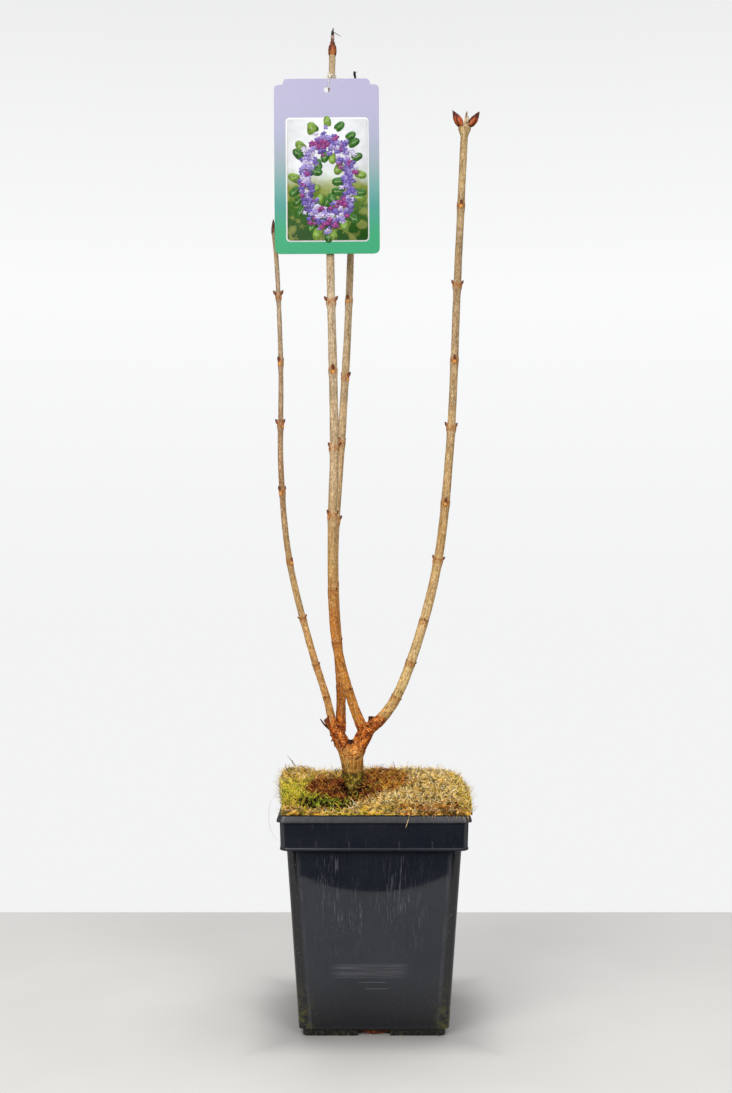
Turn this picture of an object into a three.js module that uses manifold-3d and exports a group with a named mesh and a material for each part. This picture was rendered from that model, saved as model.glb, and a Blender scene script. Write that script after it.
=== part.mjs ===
// A young lilac bush in winter, growing in a square nursery pot: a short trunk that forks low
// into two arms, four long bare canes with opposite buds, a fibre mulch mat over the compost,
// and a hanging card tied to the tallest cane.
//
// Units are millimetres and +Z is up. The origin is the centre of the pot's flat underside.
// +X is to the right and +Y is away from the viewer, seen from the pot's front.

import * as THREE from 'three';
import { mergeVertices } from 'three/addons/utils/BufferGeometryUtils.js';
import Module from 'manifold-3d';

const wasm = await Module();
wasm.setup();

// ---------------------------------------------------------------- driving dimensions

const CLEARANCE = 0.3; // gap between neighbouring solids

const POT = {
  height: 200,
  rimWidth: 172, // at the skirt's lower edge, its widest place
  rimFoot: 168,
  rimTop: 169,
  rimHeight: 7.5,
  skirtHeight: 4.6, // from the rim's top down to its widest place
  bandTop: 166.5,
  bandFoot: 165,
  bandHeight: 23.5,
  bodyTop: 154.5,
  bodyFoot: 134,
  footWidth: 127,
  footHeight: 6,
  wall: 1.8,
  floor: 2.4,
  cornerRadius: 11,
  cornerSteps: 4,
  panelRecess: 0.9,
  ledge: 1.2, // height of the sloping steps in the outline
  lipRound: 0.7, // bevel along the rim's top edge
};

const DRAIN = { width: 36, height: 4.6, depth: 12 };
const RIB = { places: [-51, -22, 22, 51], width: 1.4, height: 6.5, proud: 0.7 };

const SOIL_TOP = 190;

const MAT = {
  width: 174,
  cornerSqueeze: 0.055,
  frontHeight: 208,
  backHeight: 215,
  edgeDrop: 4.5,
  hollowDepth: 4.5,
  hollowReach: 34,
  cells: 13,
  bump: 1.1,
  tufts: 30,
  tuftLength: 7,
  tuftRadius: 1.5,
  tuftRoot: 3, // how deep a tuft's foot is sunk into the mat
  trunkRoom: 24, // no tufts nearer to the trunk's middle than this
};

// Each limb runs through its path's points, [x, y, z].
const TRUNK = {
  path: [[-17.5, -8, SOIL_TOP + CLEARANCE], [-18.4, -8.4, 207], [-19, -8.2, 223], [-20.6, -7, 243]],
  radii: [13.5, 9.9, 9.5, 11.1],
  sides: 13,
};
// The trunk's fork: a short collar towards each arm, and the cut end of an old stem between.
const LEFT_COLLAR = { path: [[-20.8, -7.4, 233], [-26.2, -5.8, 248]], radii: [8.4, 8.1], sides: 12 };
const RIGHT_COLLAR = { path: [[-20.8, -7.4, 233], [-15.4, -6, 248]], radii: [8.4, 8.4], sides: 12 };
const CROTCH_STUB = { path: [[-21.4, -4, 243], [-22, -3.4, 253.6]], radii: [3.6, 2.9], sides: 8 };

const LEFT_ARM = {
  path: [[-24.6, -6.3, 243.6], [-29.4, -4.6, 252], [-33.6, -2.6, 260], [-35.6, -0.8, 267.5]],
  radii: [7.7, 7.2, 6.9, 6.3],
  sides: 12,
};
const RIGHT_ARM = {
  path: [[-17.2, -6.5, 243.6], [-12.9, -5, 252], [-8.9, -4, 259], [-4.6, -3, 266]],
  radii: [8, 7.7, 7.6, 7.2],
  sides: 12,
};
const RIGHT_STUB = { path: [[-2.6, 0.5, 263], [-1.2, 1.6, 277.4]], radii: [4.2, 3.5], sides: 8 };

// The scar of a lost shoot at the left arm's end, with a broken twig below it.
const LEFT_STUB = { path: [[-38.6, -2.4, 266], [-44.6, -3.6, 273.4]], radii: [2.6, 1.3], sides: 6 };
const LEFT_TWIG = { path: [[-40, -3, 263.6], [-49.4, -4, 274.2]], radii: [0.9, 0.6], sides: 5 };

// Each cane runs through its path's points. Its radius goes from base to tip by the taper's
// power. A bud pair is [height, turn]: one bud points that many degrees round from +X, towards
// +Y, and its partner points the opposite way. Each pair is about a quarter turn from the next.
const CANES = {
  left_cane: {
    parent: 'left_arm',
    path: [
      [-36.5, -2, 262], [-43.3, -4, 292], [-58.4, -6, 341], [-78.2, -8, 422],
      [-86, -8, 505], [-86.3, -7, 600], [-90.3, -6, 700], [-93.2, -5, 729],
    ],
    baseRadius: 3.6,
    tipRadius: 2.4,
    taper: 1.4,
    buds: [
      [295, 250], [325, 340], [369, 190], [422, 310], [487, 235], [549, 200], [607, 240], [669, 0],
    ],
  },
  back_cane: {
    parent: 'left_arm',
    path: [
      [-31.2, 2, 262], [-30.8, 11, 296], [-37, 24, 390], [-37.1, 28, 440],
      [-30.5, 31, 540], [-24.3, 32, 650], [-19.6, 31, 790], [-17.7, 30, 874],
    ],
    baseRadius: 4.4,
    tipRadius: 1.9,
    taper: 0.45,
    buds: [
      [303, 250], [346, 340], [400, 255], [461, 340], [535, 235], [597, 315], [671, 250],
      [738, 340], [806, 250],
    ],
  },
  centre_cane: {
    parent: 'right_arm',
    path: [
      [-9, -4, 262], [-20.4, -9, 292], [-34.7, -20, 349], [-38.3, -22, 442],
      [-36.3, -22, 527], [-39.8, -22, 690], [-40.2, -22, 785], [-38.1, -22, 886],
    ],
    baseRadius: 4.5,
    tipRadius: 2.7,
    taper: 0.5,
    buds: [
      [303, 300], [347, 205], [395, 320], [465, 215], [527, 0], [598, 270], [661, 0],
      [724, 80], [785, 0], [838, 80],
    ],
  },
  right_cane: {
    parent: 'right_arm',
    path: [
      [-3.5, -2, 266], [6.2, -0.5, 273.5], [20.5, 1, 293], [41.5, 4, 347],
      [60.2, 7, 421], [71.6, 8, 527], [78.5, 6, 682], [85.2, 5, 828],
    ],
    baseRadius: 4.9,
    tipRadius: 3.4,
    taper: 1.8,
    buds: [
      [294, 160], [327, 0], [366, 270], [423, 0], [477, 270], [548, 0], [611, 270], [681, 0],
      [756, 270],
    ],
  },
};
const CANE_SIDES = 8;
const BASE_FLARE = 0.5; // extra radius where a cane leaves its arm
const BASE_FLARE_REACH = 14; // height over which that flare dies out
const NODE_SWELL = 0.7; // extra radius at a bud pair
const NODE_REACH = 4.2; // half the height of that swelling
const SIDE_BUD = { length: 5, radius: 1.6, lean: 28, sides: 5 };

// Buds and dry ends at the tips: where each one starts, the way it points, and its size.
const TIPS = {
  left_cane: [{ from: [-93.1, -5, 726], to: [-93.3, -5, 739], radius: 2.3 }],
  back_cane: [{ from: [-17.9, 30, 868], to: [-17.6, 30, 888.4], radius: 2.1 }],
  centre_cane: [
    { from: [-38.1, -22, 882], to: [-37.8, -22, 902], radius: 3.9 },
    { from: [-37.9, -22, 895], to: [-37.4, -22, 912], radius: 1.1 },
  ],
  right_cane: [
    { from: [83.9, 5, 825], to: [74.4, 4.4, 841.6], radius: 3.4 },
    { from: [86.9, 5, 825], to: [99.6, 5.6, 840.2], radius: 3.4 },
    { from: [85.3, 5, 824], to: [86.2, 6, 838], radius: 1.8 },
  ],
};

const CARD = {
  width: 96,
  height: 160,
  thickness: 0.6,
  tabWidth: 79.6,
  shoulder: 5.4,
  shoulderRadius: 4.5,
  bottomRadius: 6,
  holeRadius: 2.8,
  holeDrop: 10, // from the tab's top edge down to the hole's centre
  holeOffset: 0.4, // the hole's centre, right of the card's middle
  hole: [-43, 852.6], // x and z of the hole where the card hangs
  tilt: 0.35, // degrees anticlockwise, seen from the front
  frontOfCane: 7, // from the centre cane's axis to the card's back
};

const THREAD = { radius: 0.35, sides: 6, steps: 28, knotRadius: 1.3, loopHeight: 866.4 };

const FINISH = {
  pot: { color: '#2c2e34', roughness: 0.38, metalness: 0 },
  soil: { color: '#3a2618', roughness: 1, metalness: 0 },
  mulch: { color: '#a98a4a', roughness: 1, metalness: 0 },
  oldBark: { color: '#9a6434', roughness: 0.85, metalness: 0 },
  youngBark: { color: '#b08c62', roughness: 0.8, metalness: 0 },
  card: { color: '#9fb4cc', roughness: 0.45, metalness: 0 },
  thread: { color: '#eeeeea', roughness: 0.7, metalness: 0 },
};

// ---------------------------------------------------------------- helpers

const lerp = THREE.MathUtils.lerp;
const degrees = THREE.MathUtils.degToRad;

// A repeatable sequence of numbers between 0 and 1.
function numberMaker(seed) {
  let state = seed;
  return () => {
    state = (state * 1664525 + 1013904223) % 4294967296;
    return state / 4294967296;
  };
}

function toSolid(geometry) {
  const bare = geometry.clone();
  bare.deleteAttribute('normal');
  bare.deleteAttribute('uv');
  const merged = mergeVertices(bare, 1e-4);
  return new wasm.Manifold(new wasm.Mesh({
    numProp: 3,
    vertProperties: Float32Array.from(merged.attributes.position.array),
    triVerts: Uint32Array.from(merged.index.array),
  }));
}

function toGeometry(solid) {
  const mesh = solid.getMesh();
  const geometry = new THREE.BufferGeometry();
  geometry.setAttribute('position', new THREE.BufferAttribute(mesh.vertProperties, 3));
  geometry.setIndex(new THREE.BufferAttribute(mesh.triVerts, 1));
  geometry.computeVertexNormals();
  return geometry;
}

function joined(solids) {
  return solids.reduce((whole, solid) => whole.add(solid));
}

// A closed skin through rings of points. Every ring has as many points as the first one, and
// runs counter-clockwise seen from the last ring's side.
function skin(rings) {
  const count = rings[0].length;
  const points = rings.flat();
  const faces = [];
  for (let level = 0; level < rings.length - 1; level += 1) {
    for (let i = 0; i < count; i += 1) {
      const a = level * count + i;
      const b = level * count + (i + 1) % count;
      faces.push(a, b, b + count, a, b + count, a + count);
    }
  }
  const last = (rings.length - 1) * count;
  const bottom = points.length;
  points.push(middleOf(rings[0]), middleOf(rings[rings.length - 1]));
  for (let i = 0; i < count; i += 1) {
    const next = (i + 1) % count;
    faces.push(bottom, next, i, bottom + 1, last + i, last + next);
  }
  const geometry = new THREE.BufferGeometry().setFromPoints(points);
  geometry.setIndex(faces);
  return toSolid(geometry);
}

function middleOf(ring) {
  const sum = ring.reduce((total, point) => total.add(point), new THREE.Vector3());
  return sum.divideScalar(ring.length);
}

// ---------------------------------------------------------------- limbs

function curveThrough(path) {
  return new THREE.CatmullRomCurve3(path.map((point) => new THREE.Vector3(...point)));
}

// One ring of points round a curve's point, square to the curve.
function ringAround(curve, t, radius, sides) {
  const centre = curve.getPoint(t);
  const along = curve.getTangent(t);
  const across = new THREE.Vector3(0, 1, 0).cross(along).normalize();
  const back = along.clone().cross(across);
  return Array.from({ length: sides }, (unused, i) => {
    const angle = (i / sides) * Math.PI * 2;
    return centre.clone()
      .addScaledVector(across, Math.cos(angle) * radius)
      .addScaledVector(back, Math.sin(angle) * radius);
  });
}

// A limb whose radius passes through the listed values at even steps along its path. "grow"
// makes the same limb larger all round, to cut a neighbour clear of it.
function limb({ path, radii, sides }, grow = 0, stepsBetween = 2) {
  const curve = curveThrough(path);
  const steps = (radii.length - 1) * stepsBetween;
  const rings = [];
  for (let i = 0; i <= steps; i += 1) {
    const place = (i / steps) * (radii.length - 1);
    const before = Math.min(Math.floor(place), radii.length - 2);
    const radius = lerp(radii[before], radii[before + 1], place - before) + grow;
    rings.push(ringAround(curve, i / steps, radius, sides));
  }
  return skin(rings);
}

// A limb with a rounded end, where canes leave it.
function domedLimb(shape, grow = 0) {
  const endRadius = shape.radii[shape.radii.length - 1] + grow;
  const dome = new THREE.SphereGeometry(endRadius, shape.sides, 7);
  dome.translate(...shape.path[shape.path.length - 1]);
  return limb(shape, grow).add(toSolid(dome));
}

// The curve's parameter where it reaches a height. Canes rise all the way.
function parameterAtHeight(curve, height) {
  let low = 0;
  let high = 1;
  for (let i = 0; i < 30; i += 1) {
    const middle = (low + high) / 2;
    if (curve.getPoint(middle).z < height) {
      low = middle;
    } else {
      high = middle;
    }
  }
  return (low + high) / 2;
}

function caneRadius(cane, height) {
  const foot = cane.path[0][2];
  const top = cane.path[cane.path.length - 1][2];
  const left = (top - height) / (top - foot);
  const plain = lerp(cane.tipRadius, cane.baseRadius, Math.max(left, 0) ** cane.taper);
  const flare = BASE_FLARE * Math.max(1 - (height - foot) / (BASE_FLARE_REACH * 2), 0);
  const nearest = Math.min(...cane.buds.map(([bud]) => Math.abs(bud - height)));
  const swell = NODE_SWELL * Math.max(1 - nearest / NODE_REACH, 0);
  return plain + flare + swell;
}

// The heights that need a ring: both ends, round each bud pair, and halfway between pairs.
function caneLevels(cane) {
  const foot = cane.path[0][2];
  const top = cane.path[cane.path.length - 1][2];
  const levels = [foot, foot + BASE_FLARE_REACH, foot + BASE_FLARE_REACH * 2, top];
  cane.buds.forEach(([bud], i) => {
    const above = i + 1 < cane.buds.length ? cane.buds[i + 1][0] : top;
    levels.push(bud - NODE_REACH, bud, bud + NODE_REACH, (bud + above) / 2);
  });
  const sorted = levels.sort((a, b) => a - b);
  return sorted.filter((level, i) => i === 0 || level - sorted[i - 1] > 1.5);
}

// An egg-shaped bud from one point to another, widest below its middle.
function budBetween(from, to, radius, sides) {
  const length = from.distanceTo(to);
  const profile = [
    new THREE.Vector2(0, 0),
    new THREE.Vector2(radius * 0.8, length * 0.12),
    new THREE.Vector2(radius, length * 0.42),
    new THREE.Vector2(radius * 0.55, length * 0.8),
    new THREE.Vector2(0, length),
  ];
  const geometry = new THREE.LatheGeometry(profile, sides);
  const upright = new THREE.Vector3(0, 1, 0);
  const direction = to.clone().sub(from).normalize();
  geometry.applyQuaternion(new THREE.Quaternion().setFromUnitVectors(upright, direction));
  geometry.translate(from.x, from.y, from.z);
  return toSolid(geometry);
}

// The two opposite buds at one height, sunk into the cane and leaning out from it.
function budPair(cane, curve, height, turn) {
  const t = parameterAtHeight(curve, height);
  const centre = curve.getPoint(t);
  const along = curve.getTangent(t);
  const radius = caneRadius(cane, height);
  return [turn, turn + 180].map((angle) => {
    const level = new THREE.Vector3(Math.cos(degrees(angle)), Math.sin(degrees(angle)), 0);
    const outward = level.addScaledVector(along, -level.dot(along)).normalize();
    const from = centre.clone()
      .addScaledVector(outward, radius * 0.72)
      .addScaledVector(along, -SIDE_BUD.length * 0.2);
    const to = from.clone()
      .addScaledVector(along, Math.cos(degrees(SIDE_BUD.lean)) * SIDE_BUD.length)
      .addScaledVector(outward, Math.sin(degrees(SIDE_BUD.lean)) * SIDE_BUD.length);
    return budBetween(from, to, SIDE_BUD.radius, SIDE_BUD.sides);
  });
}

function caneStem(cane, grow = 0) {
  const curve = curveThrough(cane.path);
  const rings = caneLevels(cane).map((level) => (
    ringAround(curve, parameterAtHeight(curve, level), caneRadius(cane, level) + grow, CANE_SIDES)
  ));
  return skin(rings);
}

function caneWithBuds(name) {
  const cane = CANES[name];
  const curve = curveThrough(cane.path);
  const solids = [caneStem(cane)];
  cane.buds.forEach(([height, turn]) => {
    solids.push(...budPair(cane, curve, height, turn));
  });
  TIPS[name].forEach(({ from, to, radius }) => {
    solids.push(budBetween(new THREE.Vector3(...from), new THREE.Vector3(...to), radius, 8));
  });
  return joined(solids);
}

// ---------------------------------------------------------------- pot

// A square section with round corners, and optionally with each side's panel set back.
function squareRing(width, z, recess = 0, radius = POT.cornerRadius) {
  const half = width / 2;
  const flat = half - radius;
  const ring = [];
  for (let corner = 0; corner < 4; corner += 1) {
    const turn = corner * Math.PI / 2;
    const place = (x, y) => {
      const point = new THREE.Vector3(x, y, 0).applyAxisAngle(new THREE.Vector3(0, 0, 1), turn);
      ring.push(point.setZ(z));
    };
    for (let i = 0; i <= POT.cornerSteps; i += 1) {
      const angle = (i / POT.cornerSteps) * Math.PI / 2;
      place(flat + Math.cos(angle) * radius, flat + Math.sin(angle) * radius);
    }
    place(flat - POT.panelRecess, half - recess);
    place(POT.panelRecess - flat, half - recess);
  }
  return ring;
}

const bandBottom = POT.height - POT.rimHeight - POT.bandHeight;
const rimBottom = POT.height - POT.rimHeight;

function potOutside() {
  return skin([
    squareRing(POT.footWidth, 0),
    squareRing(POT.footWidth, POT.footHeight),
    squareRing(POT.bodyFoot, POT.footHeight + POT.ledge, POT.panelRecess),
    squareRing(POT.bodyTop, bandBottom - POT.ledge, POT.panelRecess),
    squareRing(POT.bandFoot, bandBottom),
    squareRing(POT.bandTop, rimBottom),
    squareRing(POT.rimFoot, rimBottom + POT.ledge / 2),
    squareRing(POT.rimWidth, POT.height - POT.skirtHeight),
    squareRing(POT.rimTop, POT.height - POT.lipRound),
    squareRing(POT.rimTop - POT.lipRound * 2, POT.height),
  ]);
}

// The space inside the walls, smaller all round by "inset".
function potInside(inset, top) {
  const shrink = (POT.wall + POT.panelRecess + inset) * 2;
  const radius = POT.cornerRadius - POT.wall;
  return skin([
    squareRing(POT.footWidth - shrink, POT.floor + inset, 0, radius),
    squareRing(POT.bodyFoot - shrink, POT.footHeight + POT.ledge * 2, 0, radius),
    squareRing(POT.bodyTop - shrink, bandBottom - POT.ledge * 2, 0, radius),
    squareRing(POT.bandFoot - shrink, bandBottom + POT.ledge * 2, 0, radius),
    squareRing(POT.bandTop - shrink, top, 0, radius),
  ]);
}

function boxAt(sizeX, sizeY, sizeZ, x, y, z) {
  const geometry = new THREE.BoxGeometry(sizeX, sizeY, sizeZ);
  geometry.translate(x, y, z);
  return geometry;
}

// The same box on all four sides of the pot, its place given for the front side.
function onFourSides(makeBox) {
  return [0, 1, 2, 3].map((side) => toSolid(makeBox().rotateZ(side * Math.PI / 2)));
}

function makePot() {
  let solid = potOutside().subtract(potInside(0, POT.height + 1));
  const drainY = -POT.footWidth / 2;
  const notches = onFourSides(() => (
    boxAt(DRAIN.width, DRAIN.depth * 2, DRAIN.height * 2, 0, drainY, 0)
  ));
  notches.forEach((notch) => {
    solid = solid.subtract(notch);
  });
  const ribY = -POT.bandFoot / 2;
  RIB.places.forEach((x) => {
    const ribs = onFourSides(() => (
      boxAt(RIB.width, RIB.proud * 2, RIB.height, x, ribY, bandBottom + RIB.height / 2 + POT.ledge)
    ));
    solid = joined([solid, ...ribs]);
  });
  return solid;
}

function makeSoil() {
  return potInside(CLEARANCE, SOIL_TOP);
}

// ---------------------------------------------------------------- mulch mat

// The mat's top: higher at the back, rounded down at its edges, hollow round the trunk.
function matTop(x, y) {
  const half = MAT.width / 2;
  const rise = lerp(MAT.frontHeight, MAT.backHeight, (y + half) / MAT.width);
  const edge = Math.max(Math.abs(x), Math.abs(y)) / half;
  const [trunkX, trunkY] = TRUNK.path[1];
  const away = Math.hypot(x - trunkX, y - trunkY) / MAT.hollowReach;
  const hollow = MAT.hollowDepth * Math.exp(-away * away);
  const bump = MAT.bump * Math.sin(x * 0.19 + 1.3) * Math.cos(y * 0.23 + x * 0.07);
  return rise - MAT.edgeDrop * edge ** 8 - hollow + bump;
}

// A square grid squeezed into a square with round corners.
function matPoint(column, row) {
  const u = (column / MAT.cells) * 2 - 1;
  const v = (row / MAT.cells) * 2 - 1;
  const half = MAT.width / 2;
  const squeeze = 1 - MAT.cornerSqueeze * (u * u * v * v) ** 3;
  return [u * half * squeeze, v * half * squeeze];
}

function matSlab() {
  const count = MAT.cells + 1;
  const points = [];
  const under = POT.height + CLEARANCE;
  for (let row = 0; row < count; row += 1) {
    for (let column = 0; column < count; column += 1) {
      const [x, y] = matPoint(column, row);
      points.push(new THREE.Vector3(x, y, matTop(x, y)));
    }
  }
  const layer = points.length;
  points.slice(0, layer).forEach((point) => points.push(point.clone().setZ(under)));
  const faces = [];
  const quad = (a, b, c, d) => faces.push(a, b, c, a, c, d);
  for (let row = 0; row < MAT.cells; row += 1) {
    for (let column = 0; column < MAT.cells; column += 1) {
      const a = row * count + column;
      quad(a, a + 1, a + count + 1, a + count);
      quad(layer + a, layer + a + count, layer + a + count + 1, layer + a + 1);
    }
  }
  for (let i = 0; i < MAT.cells; i += 1) {
    const right = i * count + MAT.cells;
    const back = MAT.cells * count + i;
    quad(i, layer + i, layer + i + 1, i + 1);
    quad(back, back + 1, layer + back + 1, layer + back);
    quad(i * count, (i + 1) * count, layer + (i + 1) * count, layer + i * count);
    quad(right, layer + right, layer + right + count, right + count);
  }
  const geometry = new THREE.BufferGeometry().setFromPoints(points);
  geometry.setIndex(faces);
  return toSolid(geometry);
}

// The part of the mat that fills the pot down to the compost.
function matPlug() {
  const shrink = (POT.wall + POT.panelRecess + CLEARANCE) * 2;
  const radius = POT.cornerRadius - POT.wall;
  return skin([
    squareRing(POT.bandFoot - shrink, SOIL_TOP + CLEARANCE, 0, radius),
    squareRing(POT.bandFoot - shrink, POT.height + 2, 0, radius),
  ]);
}

function matTufts() {
  const next = numberMaker(7);
  const [trunkX, trunkY] = TRUNK.path[1];
  const tufts = [];
  while (tufts.length < MAT.tufts) {
    const x = (next() - 0.5) * (MAT.width - 14);
    const y = (next() - 0.5) * (MAT.width - 14);
    const leanX = (next() - 0.5) * MAT.tuftLength;
    const leanY = (next() - 0.5) * MAT.tuftLength;
    if (Math.hypot(x - trunkX, y - trunkY) > MAT.trunkRoom) {
      const foot = new THREE.Vector3(x, y, matTop(x, y) - MAT.tuftRoot);
      const tip = new THREE.Vector3(x + leanX, y + leanY, foot.z + MAT.tuftLength);
      tufts.push(budBetween(foot, tip, MAT.tuftRadius, 4));
    }
  }
  return tufts;
}

function makeMat() {
  const whole = joined([matSlab(), matPlug(), ...matTufts()]);
  return whole.subtract(limb(TRUNK, CLEARANCE + 0.1));
}

// ---------------------------------------------------------------- trunk and arms

function trunkWhole(grow = 0) {
  const collars = [domedLimb(LEFT_COLLAR, grow), domedLimb(RIGHT_COLLAR, grow)];
  return joined([limb(TRUNK, grow), ...collars, limb(CROTCH_STUB, grow)]);
}

function makeTrunk() {
  const foot = TRUNK.path[0][2];
  const below = toSolid(boxAt(60, 60, 20, TRUNK.path[0][0], TRUNK.path[0][1], foot - 10));
  return trunkWhole().subtract(below);
}

function leftArmWhole(grow = 0) {
  return joined([domedLimb(LEFT_ARM, grow), limb(LEFT_STUB, grow), limb(LEFT_TWIG, grow)]);
}

function rightArmWhole(grow = 0) {
  return joined([domedLimb(RIGHT_ARM, grow), limb(RIGHT_STUB, grow)]);
}

const cutClear = CLEARANCE + 0.05;

function makeArms() {
  const trunk = trunkWhole(cutClear);
  const left = leftArmWhole().subtract(trunk);
  const right = rightArmWhole().subtract(trunk).subtract(leftArmWhole(cutClear));
  return { left_arm: left, right_arm: right };
}

function makeCane(name) {
  const parent = CANES[name].parent === 'left_arm' ? leftArmWhole : rightArmWhole;
  let solid = caneWithBuds(name).subtract(parent(cutClear));
  if (name === 'back_cane') {
    solid = solid.subtract(caneStem(CANES.left_cane, cutClear));
  }
  return solid;
}

// ---------------------------------------------------------------- card and its thread

const caneTop = CANES.centre_cane.path[CANES.centre_cane.path.length - 1];
const cardBack = caneTop[1] - CARD.frontOfCane;

// The card's outline about its hole: a tab on top with a hollow step on each side.
function cardOutline() {
  const middle = -CARD.holeOffset;
  const top = CARD.holeDrop;
  const right = middle + CARD.width / 2;
  const left = middle - CARD.width / 2;
  const tabRight = middle + CARD.tabWidth / 2;
  const tabLeft = middle - CARD.tabWidth / 2;
  const bottom = top - CARD.height;
  const low = top - CARD.shoulder;
  const soft = CARD.shoulderRadius;
  const round = CARD.bottomRadius;
  const outline = new THREE.Shape();
  outline.moveTo(left, bottom + round);
  outline.quadraticCurveTo(left, bottom, left + round, bottom);
  outline.lineTo(right - round, bottom);
  outline.quadraticCurveTo(right, bottom, right, bottom + round);
  outline.lineTo(right, low - soft);
  outline.quadraticCurveTo(right, low, right - soft, low);
  outline.lineTo(tabRight + 1, low);
  outline.lineTo(tabRight, top - soft);
  outline.quadraticCurveTo(tabRight, top, tabRight - soft, top);
  outline.lineTo(tabLeft + soft, top);
  outline.quadraticCurveTo(tabLeft, top, tabLeft, top - soft);
  outline.lineTo(tabLeft - 1, low);
  outline.lineTo(left + soft, low);
  outline.quadraticCurveTo(left, low, left, low - soft);
  outline.holes.push(new THREE.Path().absarc(0, 0, CARD.holeRadius, 0, Math.PI * 2, true));
  return outline;
}

function cardGeometry() {
  const options = { depth: CARD.thickness, bevelEnabled: false, curveSegments: 6 };
  return new THREE.ExtrudeGeometry(cardOutline(), options);
}

// The thread's route: from the knot over the card's edge, down to the hole, through it, and
// up behind the card beside the cane.
function threadRoute() {
  const [holeX, holeZ] = CARD.hole;
  const front = cardBack - CARD.thickness - THREAD.radius - CLEARANCE;
  const back = cardBack + THREAD.radius + CLEARANCE;
  const knot = knotPlace();
  return [
    knot,
    new THREE.Vector3(knot.x - 0.6, front, knot.z - 2.6),
    new THREE.Vector3(knot.x - 1, front, holeZ + 8.6),
    new THREE.Vector3(holeX + 1.5, front, holeZ + 4),
    new THREE.Vector3(holeX + 1, front + 0.3, holeZ + 1.5),
    new THREE.Vector3(holeX + 0.8, (front + back) / 2, holeZ + 1.1),
    new THREE.Vector3(holeX + 0.5, back, holeZ + 1.8),
    new THREE.Vector3(holeX - 0.4, back + 0.3, holeZ + 6),
    new THREE.Vector3(holeX - 0.2, back + 0.3, holeZ + 13),
    knot,
  ];
}

function loopRadius() {
  return caneRadius(CANES.centre_cane, THREAD.loopHeight) + THREAD.radius + CLEARANCE;
}

function loopCentre() {
  const curve = curveThrough(CANES.centre_cane.path);
  return curve.getPoint(parameterAtHeight(curve, THREAD.loopHeight));
}

function knotPlace() {
  const centre = loopCentre();
  const reach = loopRadius() + THREAD.knotRadius * 0.4;
  return new THREE.Vector3(centre.x - reach * 0.35, centre.y - reach * 0.94, centre.z);
}

function threadAlong(points) {
  const section = new THREE.Shape();
  section.absarc(0, 0, THREAD.radius, 0, Math.PI * 2);
  const options = {
    steps: THREAD.steps,
    curveSegments: THREAD.sides / 2,
    extrudePath: new THREE.CatmullRomCurve3(points),
  };
  return toSolid(new THREE.ExtrudeGeometry(section, options));
}

function makeThread() {
  const centre = loopCentre();
  const loop = new THREE.TorusGeometry(loopRadius(), THREAD.radius, THREAD.sides, 16);
  loop.translate(centre.x, centre.y, centre.z);
  const knot = new THREE.SphereGeometry(THREAD.knotRadius, 8, 6);
  knot.translate(...knotPlace().toArray());
  return joined([toSolid(loop), toSolid(knot), threadAlong(threadRoute())]);
}

// ---------------------------------------------------------------- the plant in its pot

const plant = new THREE.Group();

function addPiece(name, geometry, finish, parent = plant) {
  const mesh = new THREE.Mesh(geometry, new THREE.MeshStandardMaterial(FINISH[finish]));
  mesh.name = name;
  parent.add(mesh);
  return mesh;
}

addPiece('pot', toGeometry(makePot()), 'pot');
addPiece('soil', toGeometry(makeSoil()), 'soil');
addPiece('mulch_mat', toGeometry(makeMat()), 'mulch');
addPiece('trunk', toGeometry(makeTrunk()), 'oldBark');
Object.entries(makeArms()).forEach(([name, solid]) => {
  addPiece(name, toGeometry(solid), 'oldBark');
});
Object.keys(CANES).forEach((name) => {
  addPiece(name, toGeometry(makeCane(name)), 'youngBark');
});

// The card is drawn in its own plane, stood upright, and hung by its hole.
const hanger = new THREE.Group();
hanger.position.set(CARD.hole[0], cardBack, CARD.hole[1]);
hanger.rotation.y = degrees(-CARD.tilt);
const card = addPiece('label_card', cardGeometry(), 'card', hanger);
card.rotation.x = Math.PI / 2;
plant.add(hanger);

addPiece('label_thread', toGeometry(makeThread()), 'thread');

export default plant;
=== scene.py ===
import math

import bmesh
import bpy
import numpy as np
from mathutils import Matrix, Vector, noise


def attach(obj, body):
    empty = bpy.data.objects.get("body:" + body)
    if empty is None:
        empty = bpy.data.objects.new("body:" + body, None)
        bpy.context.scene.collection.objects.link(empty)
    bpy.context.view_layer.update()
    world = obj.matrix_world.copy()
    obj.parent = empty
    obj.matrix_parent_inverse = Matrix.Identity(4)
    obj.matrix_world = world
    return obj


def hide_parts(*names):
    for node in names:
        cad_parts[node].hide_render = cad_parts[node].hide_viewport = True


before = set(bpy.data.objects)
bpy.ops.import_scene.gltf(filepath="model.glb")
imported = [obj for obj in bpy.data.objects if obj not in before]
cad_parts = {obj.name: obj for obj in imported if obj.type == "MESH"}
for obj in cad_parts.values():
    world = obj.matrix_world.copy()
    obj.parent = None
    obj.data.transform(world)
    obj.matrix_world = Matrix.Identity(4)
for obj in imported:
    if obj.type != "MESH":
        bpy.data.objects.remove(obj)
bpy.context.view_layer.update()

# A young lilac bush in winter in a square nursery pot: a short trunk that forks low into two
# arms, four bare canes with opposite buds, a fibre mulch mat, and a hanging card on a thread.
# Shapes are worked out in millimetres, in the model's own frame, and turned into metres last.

MM = 0.001

# ------------------------------------------------------------------ driving dimensions

MAT_HALF = 86.4
MAT_FRONT, MAT_BACK = 208, 215

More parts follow.
